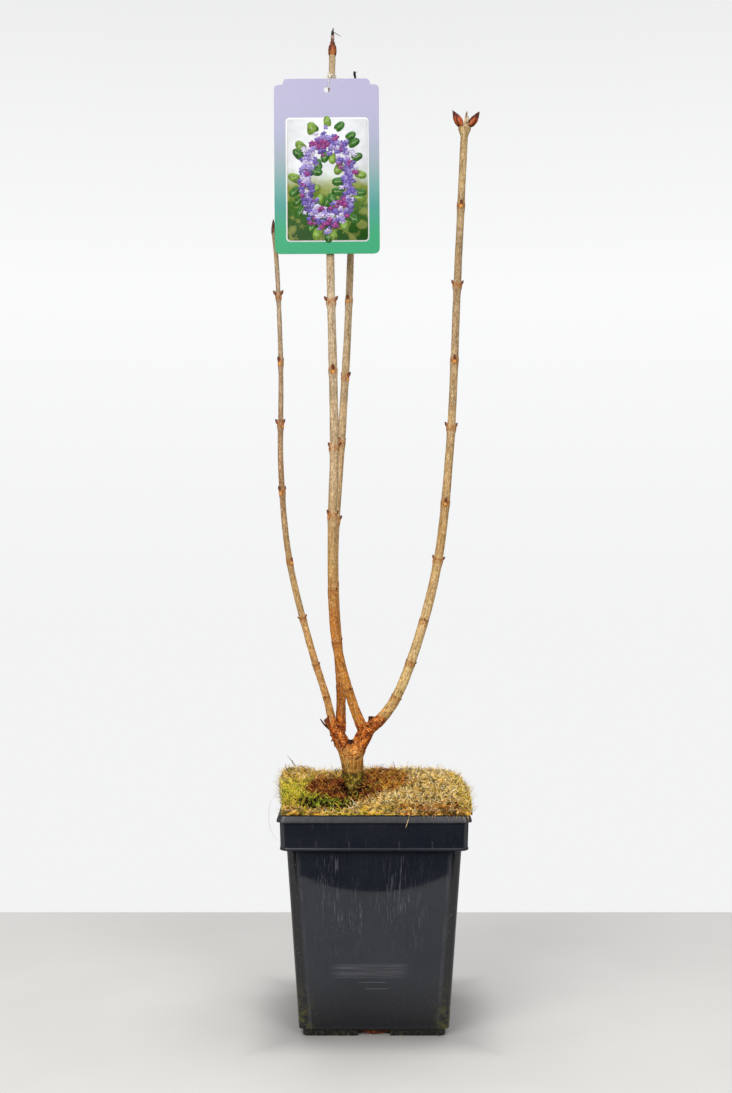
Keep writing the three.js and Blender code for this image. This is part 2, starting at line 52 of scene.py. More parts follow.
# Every limb runs through its path's points, [x, y, z], with its radii at even steps.
TRUNK = {
    "path": [(-17.5, -8, 190.3), (-18.4, -8.4, 207), (-19, -8.2, 223), (-20.6, -7, 243)],
    "radii": [13.5, 9.9, 9.5, 11.1],
}
LEFT_COLLAR = {"path": [(-20.8, -7.4, 233), (-26.2, -5.8, 248)], "radii": [8.4, 8.1]}
RIGHT_COLLAR = {"path": [(-20.8, -7.4, 233), (-15.4, -6, 248)], "radii": [8.4, 8.4]}
CROTCH_STUB = {"path": [(-21.4, -4, 243), (-21.7, -3.8, 255.0)], "radii": [3.6, 3.2]}
LEFT_ARM = {
    "path": [(-24.6, -6.3, 243.6), (-29.4, -4.6, 252), (-33.6, -2.6, 260), (-35.6, -0.8, 267.5)],
    "radii": [7.7, 7.2, 6.9, 6.0],
}
RIGHT_ARM = {
    "path": [(-17.2, -6.5, 243.6), (-12.9, -5, 252), (-8.9, -4, 259), (-4.6, -3, 266)],
    "radii": [8, 7.7, 7.6, 6.9],
}
RIGHT_STUB = {"path": [(-2.6, 0.5, 263), (-1.2, 1.6, 275.6)], "radii": [4.2, 3.5]}
LEFT_STUB = {"path": [(-38.6, -2.4, 265), (-45.2, -3.6, 274.2)], "radii": [3.2, 2.1]}
LEFT_TWIG = {"path": [(-41, -3, 264.6), (-46.4, -3.6, 269.8), (-49.8, -4, 274.6)], "radii": [1.2, 1.0, 0.5]}
# The trunk's flat foot, and the height where its bark was once covered.
TRUNK_FOOT, SOIL_LINE = 190.4, 226.3
# How finely the old wood is cut up, how often it is smoothed, and how far it runs up each cane.
WOOD_VOXEL, WOOD_SMOOTHINGS, CANE_SLEEVE = 0.5, 7, 34
# Dark seams in the bark's front, where the arms grew together: their two ends, [x, z].
FORK_SEAMS = [((-23.6, 254.2), (-28.9, 247)), ((-16.6, 238.6), (-12.4, 240.4))]
# The flat dark ends of the old cuts: foot, top and radius.
CUT_ENDS = [
    ((-21.7, -7.4, 250.4), (-21.6, -7.0, 255.7), 2.9),
    ((-1.5, 1.3, 273.6), (-1.2, 1.6, 276.3), 3.7),
]

# A bud pair is (height, turn): one bud points that many degrees round from +X, towards +Y,
# and its partner points the opposite way.
CANES = {
    "left_cane": {
        "path": [
            (-36.5, -2, 262), (-43.3, -4, 292), (-58.4, -6, 341), (-78.2, -8, 422),
            (-86, -8, 505), (-86.3, -7, 600), (-90.3, -6, 700), (-93.2, -5, 729),
        ],
        "base": 3.6, "tip": 2.0, "taper": 1.4,
        "buds": [
            (295, 250), (325, 340), (369, 190), (422, 310), (487, 235), (549, 150), (607, 240),
            (669, 0),
        ],
        "crown": 0,
    },
    "back_cane": {
        "path": [
            (-31.2, 2, 262), (-30.8, 11, 296), (-37, 24, 390), (-37.1, 28, 440),
            (-30.5, 31, 540), (-24.3, 32, 650), (-19.6, 31, 790), (-17.7, 30, 874),
        ],
        "base": 4.4, "tip": 1.9, "taper": 0.45,
        "buds": [
            (303, 250), (346, 340), (400, 255), (461, 340), (535, 235), (597, 315), (671, 250),
            (738, 340), (806, 250),
        ],
        "crown": 0,
    },
    "centre_cane": {
        "path": [
            (-9, -4, 262), (-20.4, -9, 292), (-34.7, -20, 349), (-38.3, -22, 442),
            (-36.3, -22, 527), (-39.8, -22, 690), (-40.2, -22, 785), (-38.1, -22, 886),
        ],
        "base": 4.5, "tip": 2.7, "taper": 0.5,
        "buds": [
            (303, 300), (347, 205), (395, 320), (465, 215), (527, 0), (598, 270), (661, 0),
            (724, 80), (785, 0), (838, 80),
        ],
        "crown": 0.3,
    },
    "right_cane": {
        "path": [
            (-3.5, -2, 266), (6.2, -0.5, 273.5), (20.5, 1, 293), (41.5, 4, 347),
            (60.2, 7, 421), (71.6, 8, 527), (78.5, 6, 682), (85.2, 5, 828),
        ],
        "base": 4.9, "tip": 3.4, "taper": 1.8,
        "buds": [
            (294, 160), (327, 0), (366, 270), (423, 0), (477, 270), (548, 0), (611, 270),
            (681, 0), (756, 270),
        ],
        "crown": 2.6,
    },
}
# Each cane's bark colours, from its foot (0) to its tip (1).
CANE_COLOURS = {
    "left_cane": [
        (0.0, (0.52, 0.24, 0.06)), (0.08, (0.56, 0.29, 0.09)), (0.2, (0.44, 0.28, 0.115)),
        (0.4, (0.331, 0.203, 0.106)), (0.6, (0.371, 0.275, 0.182)), (1.0, (0.34, 0.24, 0.13)),
    ],
    "back_cane": [
        (0.0, (0.42, 0.13, 0.016)), (0.1, (0.46, 0.16, 0.022)), (0.2, (0.45, 0.22, 0.06)),
        (0.36, (0.47, 0.32, 0.16)), (0.6, (0.464, 0.343, 0.21)), (1.0, (0.44, 0.32, 0.19)),
    ],
    "centre_cane": [
        (0.0, (0.56, 0.24, 0.044)), (0.1, (0.55, 0.23, 0.042)), (0.18, (0.455, 0.172, 0.03)),
        (0.26, (0.446, 0.273, 0.104)), (0.37, (0.485, 0.347, 0.2)), (0.48, (0.457, 0.339, 0.207)),
        (0.67, (0.509, 0.405, 0.274)), (1.0, (0.447, 0.33, 0.2)),
    ],
    "right_cane": [
        (0.0, (0.50, 0.22, 0.05)), (0.05, (0.58, 0.36, 0.13)), (0.09, (0.616, 0.448, 0.19)),
        (0.16, (0.60, 0.42, 0.2)), (0.3, (0.467, 0.292, 0.119)), (0.5, (0.448, 0.308, 0.159)),
        (0.7, (0.348, 0.244, 0.143)), (0.83, (0.452, 0.317, 0.153)), (1.0, (0.46, 0.32, 0.155)),
    ],
}
CANE_SIDES = 28
RING_STEP = 0.9
BASE_FLARE, BASE_FLARE_REACH = 0.5, 28
NODE_SWELL, NODE_SHELF = 0.45, 0.7
BUD_LENGTH, BUD_RADIUS, BUD_LEAN = 5.6, 1.35, 34

# The large buds at the canes' tips: foot, tip and radius.
RED_TIP_BUDS = [
    ((82.4, 4.9, 828.4), (74.0, 4.4, 843.4), 3.2),
    ((89.8, 5.1, 829.0), (99.2, 5.6, 842.0), 3.0),
]
DARK_BRACT = ((89.0, 3.4, 831.6), (98.8, 4.2, 842.4), 1.5)
BROWN_TIP_BUDS = [((-38.2, -22, 886.0), (-37.9, -22, 903.4), 2.45)]
SIDE_BRACTS = [
    ((-39.3, -22.4, 884.6), (-41.0, -22.6, 895.4), 1.75),
    ((-36.9, -22.4, 884.6), (-35.0, -22.6, 895.2), 1.7),
]
SLIM_TIP_BUD = ((-93.0, -5, 722.5), (-93.5, -5, 739.8), 1.8)
BACK_TIP_BUD = ((-17.8, 30, 869.5), (-17.4, 30, 879.5), 1.9)

# Dry ends above the buds: the points they run through and their radii.
DRY_ENDS = [
    {"path": [(86.4, 5, 827), (86.3, 5, 833), (86.7, 5.2, 838), (87.5, 5.4, 843)],
     "radii": [2.2, 1.6, 1.1, 0.7]},
    {"path": [(88.2, 4.2, 829), (88.8, 3.8, 834.4), (88.1, 3.6, 839)], "radii": [1.1, 0.7, 0.2]},
]
DARK_ENDS = [
    {"path": [(-37.9, -22, 903.8), (-37.9, -22, 906.2), (-37.4, -22, 909.2)], "radii": [1.6, 1.6, 0.7]},
    {"path": [(-38.3, -22.4, 905.4), (-38.7, -22.6, 907.6), (-37.6, -22.4, 910.0)],
     "radii": [0.6, 0.4, 0.3]},
    {"path": [(-17.6, 30, 877), (-17.4, 30.2, 881), (-18.1, 30.1, 885.0), (-18.4, 30, 888.0)],
     "radii": [1.1, 1.0, 1.3, 0.9]},
]
GREY_ENDS = [
    {"path": [(-37.8, -22, 907.6), (-37.4, -22, 909.8), (-37.3, -22, 911.6)], "radii": [0.8, 0.9, 0.35]},
]
DEAD_SHOOT = {"path": [(-37.9, -22, 900.6), (-37.9, -22, 904.6)], "radii": [1.7, 1.6]}
TIP_HAIRS = [
    [(-37.0, -22, 907.2), (-35.6, -22.4, 906.9), (-34.4, -22.8, 905.8), (-32.2, -23.2, 904.5),
     (-30.2, -23.5, 903.3)],
    [(-17.6, 30, 885.6), (-16.6, 29.8, 887.2), (-15.6, 29.6, 887.6)],
]

# The pot's outline from its foot up: its width at each height. A bead runs round the band's foot.
POT_OUTSIDE = [
    (127, 0), (127.6, 5.6), (134, 7.2), (154.5, 167.8), (164.6, 168.3), (166.2, 168.9), (166.2, 170.1),
    (165.2, 171.1), (166.5, 192.9), (168, 193.2), (172, 193.8), (171.7, 195.2), (169.2, 199.2),
    (168.1, 199.9), (166.6, 200),
]
POT_INSIDE = [
    (163.2, 199.7), (162.6, 192), (160.6, 170), (150.6, 167), (130.4, 9.5), (123, 7.5), (122, 2.4),
]
POT_CORNER = 5.4
# The step down into each side panel: how wide each of its bands is, and how far each one sinks.
PANEL_STEP = 0.6
PANEL_SINKS = (0.084, 0.218, 0.346, 0.218, 0.084)
PANEL_FOOT, PANEL_TOP = 7.2, 167.8
# How far each panel bows out, and how many cuts carry the bow.
PANEL_BOW, PANEL_CUTS = 1.6, 27
DRAIN = {"width": 29, "height": 5.4, "depth": 12}
# The band's ribs: where they stand along a side, their middle's depth and height, and their size.
RIB_PLACES, RIB_MIDDLE, RIB_SIZE = (-51, -22, 22, 51), (-82.2, 172.9), (1.3, 1.7, 6.8)

CARD = {"hole": (-43, 852.6), "tilt": 0.35, "back": -29.0, "front": -29.6}
PICTURE = {"middle": (0.1, -82.3), "size": (76, 113.4), "edge": 1.2, "wreath": (22, 38)}
FLORET_COLOURS = {
    "lilac": (0.33, 0.26, 0.62), "violet": (0.15, 0.10, 0.42), "plum": (0.30, 0.04, 0.22),
    "blush": (0.62, 0.56, 0.76), "shade": (0.09, 0.055, 0.22),
}
FLORET_COUNT, LEAF_COUNT = 420, 33
# How far the first leaf and floret stand off the card, and each one off the one before.
LEAF_LEVEL, LEAF_TIER = 0.06, 0.004
FLORET_LEVEL, FLORET_TIER = 0.25, 0.0006
GOLDEN_TURN = math.pi * (3 - math.sqrt(5))
LEAF_COLOURS = {"deep": (0.035, 0.14, 0.018), "light": (0.17, 0.29, 0.04)}
THREAD = {"height": 866.4, "ply_radius": 0.19, "ply_offset": 0.14, "pitch": 2.0}

# The mulch's fibres: how many, how thick, and the colour of each kind. None starts in the trunk.
FIBRE_COUNT, FIBRE_RADIUS, FUZZ_COUNT = 23000, (0.17, 0.38), 1500
TRUNK_PLACE = (-18.3, -8.4)
# The dark kind stands partly for dark bits of mulch and partly for painted shade in the gaps between the
# other fibres.
FIBRE_COLOURS = {
    "straw": (0.86, 0.60, 0.18), "pale": (0.94, 0.80, 0.46), "gold": (0.72, 0.43, 0.05),
    "olive": (0.72, 0.63, 0.05), "moss": (0.38, 0.50, 0.04), "amber": (0.60, 0.24, 0.03),
    "rust": (0.38, 0.09, 0.028), "dark": (0.014, 0.005, 0.002),
}
# How large a share each kind has in each zone of the mat.
FIBRE_SHARES = {
    "moss patch": {"moss": 0.09, "olive": 0.03, "gold": 0.02, "dark": 0.86},
    "trunk foot": {"dark": 0.82, "rust": 0.10, "gold": 0.08},
    "hollows": {"rust": 0.26, "dark": 0.56, "amber": 0.10, "gold": 0.08},
    "orange patch": {"amber": 0.27, "rust": 0.20, "gold": 0.13, "straw": 0.05, "dark": 0.35},
    "front right edge": {"amber": 0.18, "rust": 0.16, "gold": 0.18, "straw": 0.13, "dark": 0.35},
    "front edge": {"gold": 0.30, "olive": 0.14, "amber": 0.10, "straw": 0.17, "dark": 0.29},
    "green side": {"olive": 0.35, "gold": 0.14, "straw": 0.11, "moss": 0.07, "dark": 0.33},
    "left": {"straw": 0.29, "pale": 0.12, "gold": 0.20, "amber": 0.05, "olive": 0.03, "dark": 0.31},
    "right edge": {"gold": 0.25, "straw": 0.25, "olive": 0.12, "pale": 0.07, "dark": 0.31},
    "right": {"pale": 0.22, "straw": 0.28, "gold": 0.12, "amber": 0.05, "dark": 0.33},
}

# Strands that stray from the mat: over the rim in front, down the left side, up at the back.
HANGING_STRAW = {
    "path": [
        (36, -82, 205.5), (33.5, -84.6, 203.5), (31, -86.3, 201), (29.6, -86.6, 196),
        (27.4, -86.7, 189.5),
    ],
    "radii": [0.4, 0.45, 0.4, 0.32, 0.12],
}
LONG_HAIR = {
    "path": [
        (-80, -20, 210), (-88, -30, 209.5), (-93.6, -38, 204), (-95.1, -42, 194), (-94.6, -44, 184),
        (-91.5, -46, 176), (-87.5, -48, 171),
    ],
    "radii": [0.14, 0.14, 0.12, 0.12, 0.12, 0.1, 0.06],
}
MOSS_SPRIGS = [
    {"path": [(-72.5, 80, 209), (-74.5, 80, 214), (-79, 80.5, 220), (-85, 81, 227.5)],
     "radii": [0.6, 0.45, 0.4, 0.15]},
    {"path": [(-74, 80, 213), (-71.5, 79.5, 216), (-70.2, 79, 218.6)], "radii": [0.5, 0.4, 0.15]},
    {"path": [(-78, 80.4, 218.5), (-79.8, 79.6, 221), (-80, 79, 223.5)], "radii": [0.45, 0.4, 0.12]},
    {"path": [(-12, 84, 211), (-11.4, 84, 216), (-12.6, 84, 221)], "radii": [0.35, 0.3, 0.1]},
    {"path": [(20, 84, 212), (21, 83.6, 217), (19.6, 83, 222)], "radii": [0.35, 0.3, 0.1]},
]

# ------------------------------------------------------------------ small helpers


def lerp(a, b, part):
    return a + (b - a) * part


def smooth(low, high, value):
    part = min(max((value - low) / (high - low), 0), 1)
    return part * part * (3 - 2 * part)


def bell(value, middle, width):
    """1 at the middle, falling off on both sides over the width."""
    return math.exp(-(((value - middle) / width) ** 2))


def ripple(x, y, z):
    """Smooth noise, from about -1 to 1."""
    return noise.noise(Vector((x, y, z)))


def curve_point(points, t):
    """A point of the centripetal curve through the points, for t from 0 to 1."""
    spot = t * (len(points) - 1)
    before = min(int(spot), len(points) - 2)
    part = spot - before
    p1, p2 = points[before], points[before + 1]
    p0 = points[before - 1] if before > 0 else p1 * 2 - p2
    p3 = points[before + 2] if before + 2 < len(points) else p2 * 2 - p1
    d0, d1, d2 = (max((b - a).length, 1e-4) ** 0.5 for a, b in ((p0, p1), (p1, p2), (p2, p3)))
    slope1 = ((p1 - p0) / d0 - (p2 - p0) / (d0 + d1) + (p2 - p1) / d1) * d1
    slope2 = ((p2 - p1) / d1 - (p3 - p1) / (d1 + d2) + (p3 - p2) / d2) * d1
    square = part * part
    cube = square * part
    return (
        p1 * (2 * cube - 3 * square + 1) + slope1 * (cube - 2 * square + part)
        + p2 * (3 * square - 2 * cube) + slope2 * (cube - square)
    )


def place_object(name, data):
    """A new object, put into the scene."""
    placed = bpy.data.objects.new(name, data)
    bpy.context.scene.collection.objects.link(placed)
    return placed


class Station:
    """One stop along a limb: its place, its own directions, and how far along it is."""

    def __init__(self, place, along, run, part):
        self.place = place
        self.along = along
        self.across = Vector((0, 1, 0)).cross(along).normalized()
        self.back = along.cross(self.across)
        self.run = run
        self.part = part

    def around(self, turn, radius):
        return self.place + self.across * (math.cos(turn) * radius) + self.back * (math.sin(turn) * radius)


def stations(path, step):
    """Even stops along the curve through a path's points."""
    points = [Vector(p) for p in path]
    fine = 40 * (len(points) - 1)
    places = [curve_point(points, i / fine) for i in range(fine + 1)]
    runs = [0.0]
    for a, b in zip(places, places[1:]):
        runs.append(runs[-1] + (b - a).length)
    count = max(int(runs[-1] / step), 2)
    stops = []
    for i in range(count + 1):
        run = runs[-1] * i / count
        t = float(np.interp(run, runs, np.linspace(0, 1, fine + 1)))
        ahead = curve_point(points, min(t + 0.002, 1)) - curve_point(points, max(t - 0.002, 0))
        stops.append(Station(curve_point(points, t), ahead.normalized(), run, t))
    return stops


def rod(sides, rings):
    """An upright rod with closed ends, cut into rings."""
    bm = bmesh.new()
    bmesh.ops.create_cone(
        bm, cap_ends=True, cap_tris=False, segments=sides, radius1=1, radius2=1, depth=1
    )
    uprights = [e for e in bm.edges if abs(e.verts[0].co.z - e.verts[1].co.z) > 0.5]
    bmesh.ops.subdivide_edges(bm, edges=uprights, cuts=rings - 2, use_grid_fill=True)
    return bm


def rod_place(vert, rings):
    """Which ring a rod's point is on, and how far round it."""
    return round((vert.co.z + 0.5) * (rings - 1)), math.atan2(vert.co.y, vert.co.x)


def limb_mesh(path, radii, sides=16, step=1.5, round_end=0):
    """A closed limb through a path's points."""
    stops = stations(path, step)
    bm = rod(sides, len(stops))
    length = stops[-1].run
    for vert in bm.verts:
        ring, turn = rod_place(vert, len(stops))
        stop = stops[ring]
        radius = float(np.interp(stop.part, np.linspace(0, 1, len(radii)), radii))
        if round_end and length - stop.run < round_end:
            radius *= math.sqrt(max(1 - (1 - (length - stop.run) / round_end) ** 2, 0.04))
        vert.co = stop.around(turn, radius)
    return bm


def strand(path, radii, step=1.0, fineness=1):
    """A thin round strand through a path's points, free to turn any way, with closed ends."""
    points = [Vector(p) for p in path]
    length = sum((b - a).length for a, b in zip(points, points[1:]))
    count = max(int(length / step), 3)
    data = bpy.data.curves.new("strand", "CURVE")
    data.dimensions = "3D"
    data.bevel_depth = 1
    data.bevel_resolution = fineness
    data.use_fill_caps = True
    spline = data.splines.new("POLY")
    spline.points.add(count)
    for i, point in enumerate(spline.points):
        part = i / count
        point.co = (*curve_point(points, part), 1)
        point.radius = float(np.interp(part, np.linspace(0, 1, len(radii)), radii))
    line = place_object("strand", data)
    graph = bpy.context.evaluated_depsgraph_get()
    mesh = bpy.data.meshes.new_from_object(line.evaluated_get(graph))
    bpy.data.objects.remove(line)
    bpy.data.curves.remove(data)
    bm = bmesh.new()
    bm.from_mesh(mesh)
    bpy.data.meshes.remove(mesh)
    bmesh.ops.remove_doubles(bm, verts=bm.verts, dist=1e-4)
    bmesh.ops.recalc_face_normals(bm, faces=bm.faces)
    return bm


def finish_piece(name, bm, finish, smooth_faces=True):
    """Turns a shape in millimetres into a piece in metres that rides with the plant."""
    bmesh.ops.scale(bm, vec=(MM, MM, MM), verts=bm.verts)
    mesh = bpy.data.meshes.new(name)
    bm.to_mesh(mesh)
    bm.free()
    mesh.materials.append(finish)
    mesh.shade_smooth() if smooth_faces else mesh.shade_flat()
    piece = place_object(name, mesh)
    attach(piece, "root")
    return piece


def with_modifier(bm, kind, **settings):
    """The shape with one modifier applied to it."""
    mesh = bpy.data.meshes.new("work")
    bm.to_mesh(mesh)
    bm.free()
    work = place_object("work", mesh)
    modifier = work.modifiers.new(kind, kind)
    for key, value in settings.items():
        setattr(modifier, key, value)
    graph = bpy.context.evaluated_depsgraph_get()
    shaped = bpy.data.meshes.new_from_object(work.evaluated_get(graph))
    bpy.data.objects.remove(work)
    result = bmesh.new()
    result.from_mesh(shaped)
    bpy.data.meshes.remove(shaped)
    bpy.data.meshes.remove(mesh)
    return result


def join_into(bm, other):
    """Adds another shape to this one and frees it."""
    mesh = bpy.data.meshes.new("joining")
    other.to_mesh(mesh)
    other.free()
    bm.from_mesh(mesh)
    bpy.data.meshes.remove(mesh)


# ------------------------------------------------------------------ finishes


class Finish:
    """A material being put together. Each method adds a node and returns its output."""

    def __init__(self, name, roughness, specular=0.5):
        self.material = bpy.data.materials.new(name)
        self.material.use_nodes = True
        self.tree = self.material.node_tree
        self.shader = self.tree.nodes["Principled BSDF"]
        self.shader.inputs["Roughness"].default_value = roughness
        self.shader.inputs["Specular IOR Level"].default_value = specular
        self.place = self.add("ShaderNodeTexCoord").outputs["Object"]

    def add(self, kind, **settings):
        node = self.tree.nodes.new(kind)
        for key, value in settings.items():
            setattr(node, key, value)
        return node

    def plug(self, value, socket):
        if isinstance(value, bpy.types.NodeSocket):
            self.tree.links.new(value, socket)
        elif isinstance(value, tuple) and len(value) == 3 and socket.type == "RGBA":
            socket.default_value = (*value, 1)
        else:
            socket.default_value = value

    def stretch(self, vector, scale):
        node = self.add("ShaderNodeMapping")
        self.plug(vector, node.inputs["Vector"])
        node.inputs["Scale"].default_value = scale
        return node.outputs["Vector"]

    def noise(self, vector, scale, detail=4, roughness=0.55, stretch=(1, 1, 1)):
        node = self.add("ShaderNodeTexNoise")
        self.plug(self.stretch(vector, stretch), node.inputs["Vector"])
        node.inputs["Scale"].default_value = scale
        node.inputs["Detail"].default_value = detail
        node.inputs["Roughness"].default_value = roughness
        return node.outputs["Fac"]

    def cells(self, vector, scale, stretch=(1, 1, 1), feature="F1"):
        node = self.add("ShaderNodeTexVoronoi", feature=feature)
        self.plug(self.stretch(vector, stretch), node.inputs["Vector"])
        node.inputs["Scale"].default_value = scale
        return node.outputs["Distance"]

    def ramp(self, value, stops):
        node = self.add("ShaderNodeValToRGB")
        self.plug(value, node.inputs["Fac"])
        elements = node.color_ramp.elements
        while len(elements) < len(stops):
            elements.new(0.5)
        for element, (position, colour) in zip(elements, stops):
            element.position = position
            element.color = (*colour, 1) if isinstance(colour, tuple) else (colour, colour, colour, 1)
        return node.outputs["Color"]

    def span(self, value, low, high, to_low=0.0, to_high=1.0):
        node = self.add("ShaderNodeMapRange", interpolation_type="SMOOTHSTEP")
        for socket, number in zip(node.inputs, (value, low, high, to_low, to_high)):
            self.plug(number, socket)
        return node.outputs["Result"]

    def calc(self, operation, a, b=0.0):
        node = self.add("ShaderNodeMath", operation=operation)
        self.plug(a, node.inputs[0])
        self.plug(b, node.inputs[1])
        return node.outputs["Value"]

    def times(self, *values):
        """All the values multiplied together."""
        product = values[0]
        for value in values[1:]:
            product = self.calc("MULTIPLY", product, value)
        return product

    def near(self, value, middle, far, close):
        """1 where a value lies within close of a middle value, and 0 beyond far."""
        return self.span(self.calc("ABSOLUTE", self.calc("SUBTRACT", value, middle)), far, close)

    def mix(self, factor, a, b, blend="MIX"):
        node = self.add("ShaderNodeMix", data_type="RGBA", blend_type=blend)
        self.plug(factor, node.inputs["Factor"])
        colour_a, colour_b = (s for s in node.inputs if s.type == "RGBA")
        self.plug(a, colour_a)
        self.plug(b, colour_b)
        return next(s for s in node.outputs if s.type == "RGBA")

    def tint(self, colour, over, *amounts):
        """Lays one colour over another by all the amounts multiplied together."""
        return self.mix(self.times(*amounts), colour, over)

    def tone(self, colour, value, stops):
        """Darkens and lightens a colour by a ramp of a value."""
        return self.mix(1.0, colour, self.ramp(value, stops), "MULTIPLY")

    def axes(self, vector):
        node = self.add("ShaderNodeSeparateXYZ")
        self.plug(vector, node.inputs["Vector"])
        return node.outputs["X"], node.outputs["Y"], node.outputs["Z"]

    def mark(self, name, vector=False):
        node = self.add("ShaderNodeAttribute", attribute_name=name)
        return node.outputs["Vector" if vector else "Fac"]

    def bump(self, height, distance, strength=1.0, under=None):
        node = self.add("ShaderNodeBump")
        self.plug(height, node.inputs["Height"])
        node.inputs["Distance"].default_value = distance
        node.inputs["Strength"].default_value = strength
        if under is not None:
            self.plug(under, node.inputs["Normal"])
        return node.outputs["Normal"]

    def done(self, colour, normal=None, roughness=None):
        self.plug(colour, self.shader.inputs["Base Color"])
        if normal is not None:
            self.plug(normal, self.shader.inputs["Normal"])
        if roughness is not None:
            self.plug(roughness, self.shader.inputs["Roughness"])
        return self.material


def cane_finish(name, stops):
    """Young bark: grey-tan above, browner below, with fine streaks and pale pores."""
    f = Finish(name, 0.6, 0.15)
    grain = f.mark("grain", vector=True)
    height = f.axes(f.place)[2]
    part_up = f.calc("DIVIDE", f.calc("SUBTRACT", height, 0.25), 0.65)
    streak = f.noise(grain, 1.0, 5, 0.65, (0.6, 0.6, 0.07))
    blotch = f.noise(grain, 1.0, 3, 0.5, (0.16, 0.16, 0.06))
    speck = f.noise(grain, 1.0, 4, 0.7, (0.75, 0.75, 0.36))
    colour = f.tone(f.ramp(part_up, stops), streak, [
        (0.3, (0.62, 0.52, 0.4)), (0.5, 1.0), (0.68, (1.35, 1.32, 1.25)),
    ])
    colour = f.tone(colour, blotch, [(0.3, 0.8), (0.55, 1.0), (0.75, 1.15)])
    colour = f.tone(colour, speck, [(0.36, (0.7, 0.6, 0.48)), (0.5, 1.0), (0.63, 1.4)])
    warm = f.span(f.noise(grain, 1.0, 2, 0.5, (0.22, 0.22, 0.035)), 0.5, 0.72)
    colour = f.tint(colour, (0.46, 0.27, 0.10), warm, 0.45)
    pores = f.cells(grain, 1.0, (0.62, 0.62, 0.36))
    colour = f.tint(colour, (0.74, 0.60, 0.42), f.span(pores, 0.24, 0.12))
    columns = f.span(f.noise(grain, 1.0, 2, 0.5, (0.5, 0.5, 0.015)), 0.44, 0.56, 0.25, 1.0)
    flecks = f.span(f.cells(grain, 1.0, (1.0, 1.0, 0.5)), 0.26, 0.08, 0, 0.5)
    colour = f.tint(colour, (0.15, 0.075, 0.035), flecks, columns)
    # Dark cracks: partly the old bark's own darker fissures, partly painted shade in them.
    colour = f.tint(colour, (0.11, 0.045, 0.015), f.mark("crack"), 0.75)
    colour = f.tint(colour, (0.36, 0.13, 0.03), f.mark("node"), f.span(speck, 0.4, 0.6, 0.9, 0.3))
    colour = f.tint(colour, (0.74, 0.30, 0.05), f.mark("scar"))
    # Dirt in the grooves of the old nodes, and a painted shadow ring round each leaf scar.
    colour = f.tint(colour, (0.06, 0.02, 0.006), f.mark("dirt_and_shade"))
    fine = f.noise(grain, 1.0, 5, 0.65, (1.6, 1.6, 0.35))
    return f.done(colour, f.bump(fine, 0.0005, 0.7), f.span(streak, 0.3, 0.7, 0.65, 0.42))


def old_bark_finish():
    """The trunk and arms: orange-brown bark that cracks and flakes, green with algae low down."""
    f = Finish("old_bark", 0.7, 0.12)
    grain = f.mark("grain", vector=True)
    height = f.axes(f.place)[2]
    patch = f.noise(grain, 1.0, 4, 0.6, (0.26, 0.26, 0.09))
    arms = f.ramp(patch, [
        (0.36, (0.09, 0.010, 0.002)), (0.45, (0.31, 0.060, 0.006)), (0.54, (0.52, 0.140, 0.015)),
        (0.66, (0.68, 0.26, 0.04)),
    ])
    stem = f.ramp(patch, [
        (0.34, (0.26, 0.07, 0.012)), (0.44, (0.46, 0.18, 0.035)), (0.54, (0.54, 0.25, 0.055)),
        (0.66, (0.60, 0.33, 0.10)),
    ])
    uneven = f.times(f.noise(f.place, 130, 3, 0.6), 0.02)
    colour = f.tint(stem, arms, f.span(f.calc("ADD", height, uneven), 0.248, 0.266))
    streak = f.noise(grain, 1.0, 6, 0.7, (0.65, 0.65, 0.24))
    colour = f.tone(colour, streak, [(0.34, 0.2), (0.48, 0.95), (0.64, 1.8)])
    flecks = f.cells(grain, 1.0, (0.55, 0.55, 0.4))
    colour = f.tint(colour, (0.88, 0.52, 0.20), f.span(flecks, 0.28, 0.14, 0, 0.9))
    pits = f.cells(f.stretch(grain, (1.3, 1.3, 1.3)), 1.0, (0.5, 0.5, 0.36))
    colour = f.tint(colour, (0.07, 0.014, 0.003), f.span(pits, 0.3, 0.14, 0, 0.9))
    # Dark cracks: partly the bark's own darker fissures, partly painted shade in them.
    colour = f.tint(colour, (0.055, 0.018, 0.007), f.mark("crack"), 0.85)
    height = f.calc("ADD", height, f.times(f.noise(f.place, 260, 4, 0.65), 0.005))
    algae = f.ramp(f.noise(f.place, 260, 5, 0.7), [
        (0.44, (0.004, 0.003, 0.001)), (0.48, (0.03, 0.015, 0.002)), (0.51, (0.13, 0.072, 0.006)),
        (0.54, (0.27, 0.18, 0.013)), (0.58, (0.50, 0.32, 0.02)), (0.63, (0.54, 0.44, 0.15)),
    ])
    colour = f.tint(colour, algae, f.span(height, 0.2304, 0.2276))
    colour = f.tint(colour, (0.17, 0.12, 0.015), f.span(height, 0.2445, 0.2305), 0.4)
    colour = f.tint(colour, (0.06, 0.010, 0.006), f.mark("dirt_and_shade"))
    fine = f.noise(grain, 1.0, 6, 0.75, (1.3, 1.3, 0.6))
    return f.done(colour, f.bump(fine, 0.0009, 0.9), f.span(streak, 0.3, 0.7, 0.7, 0.45))


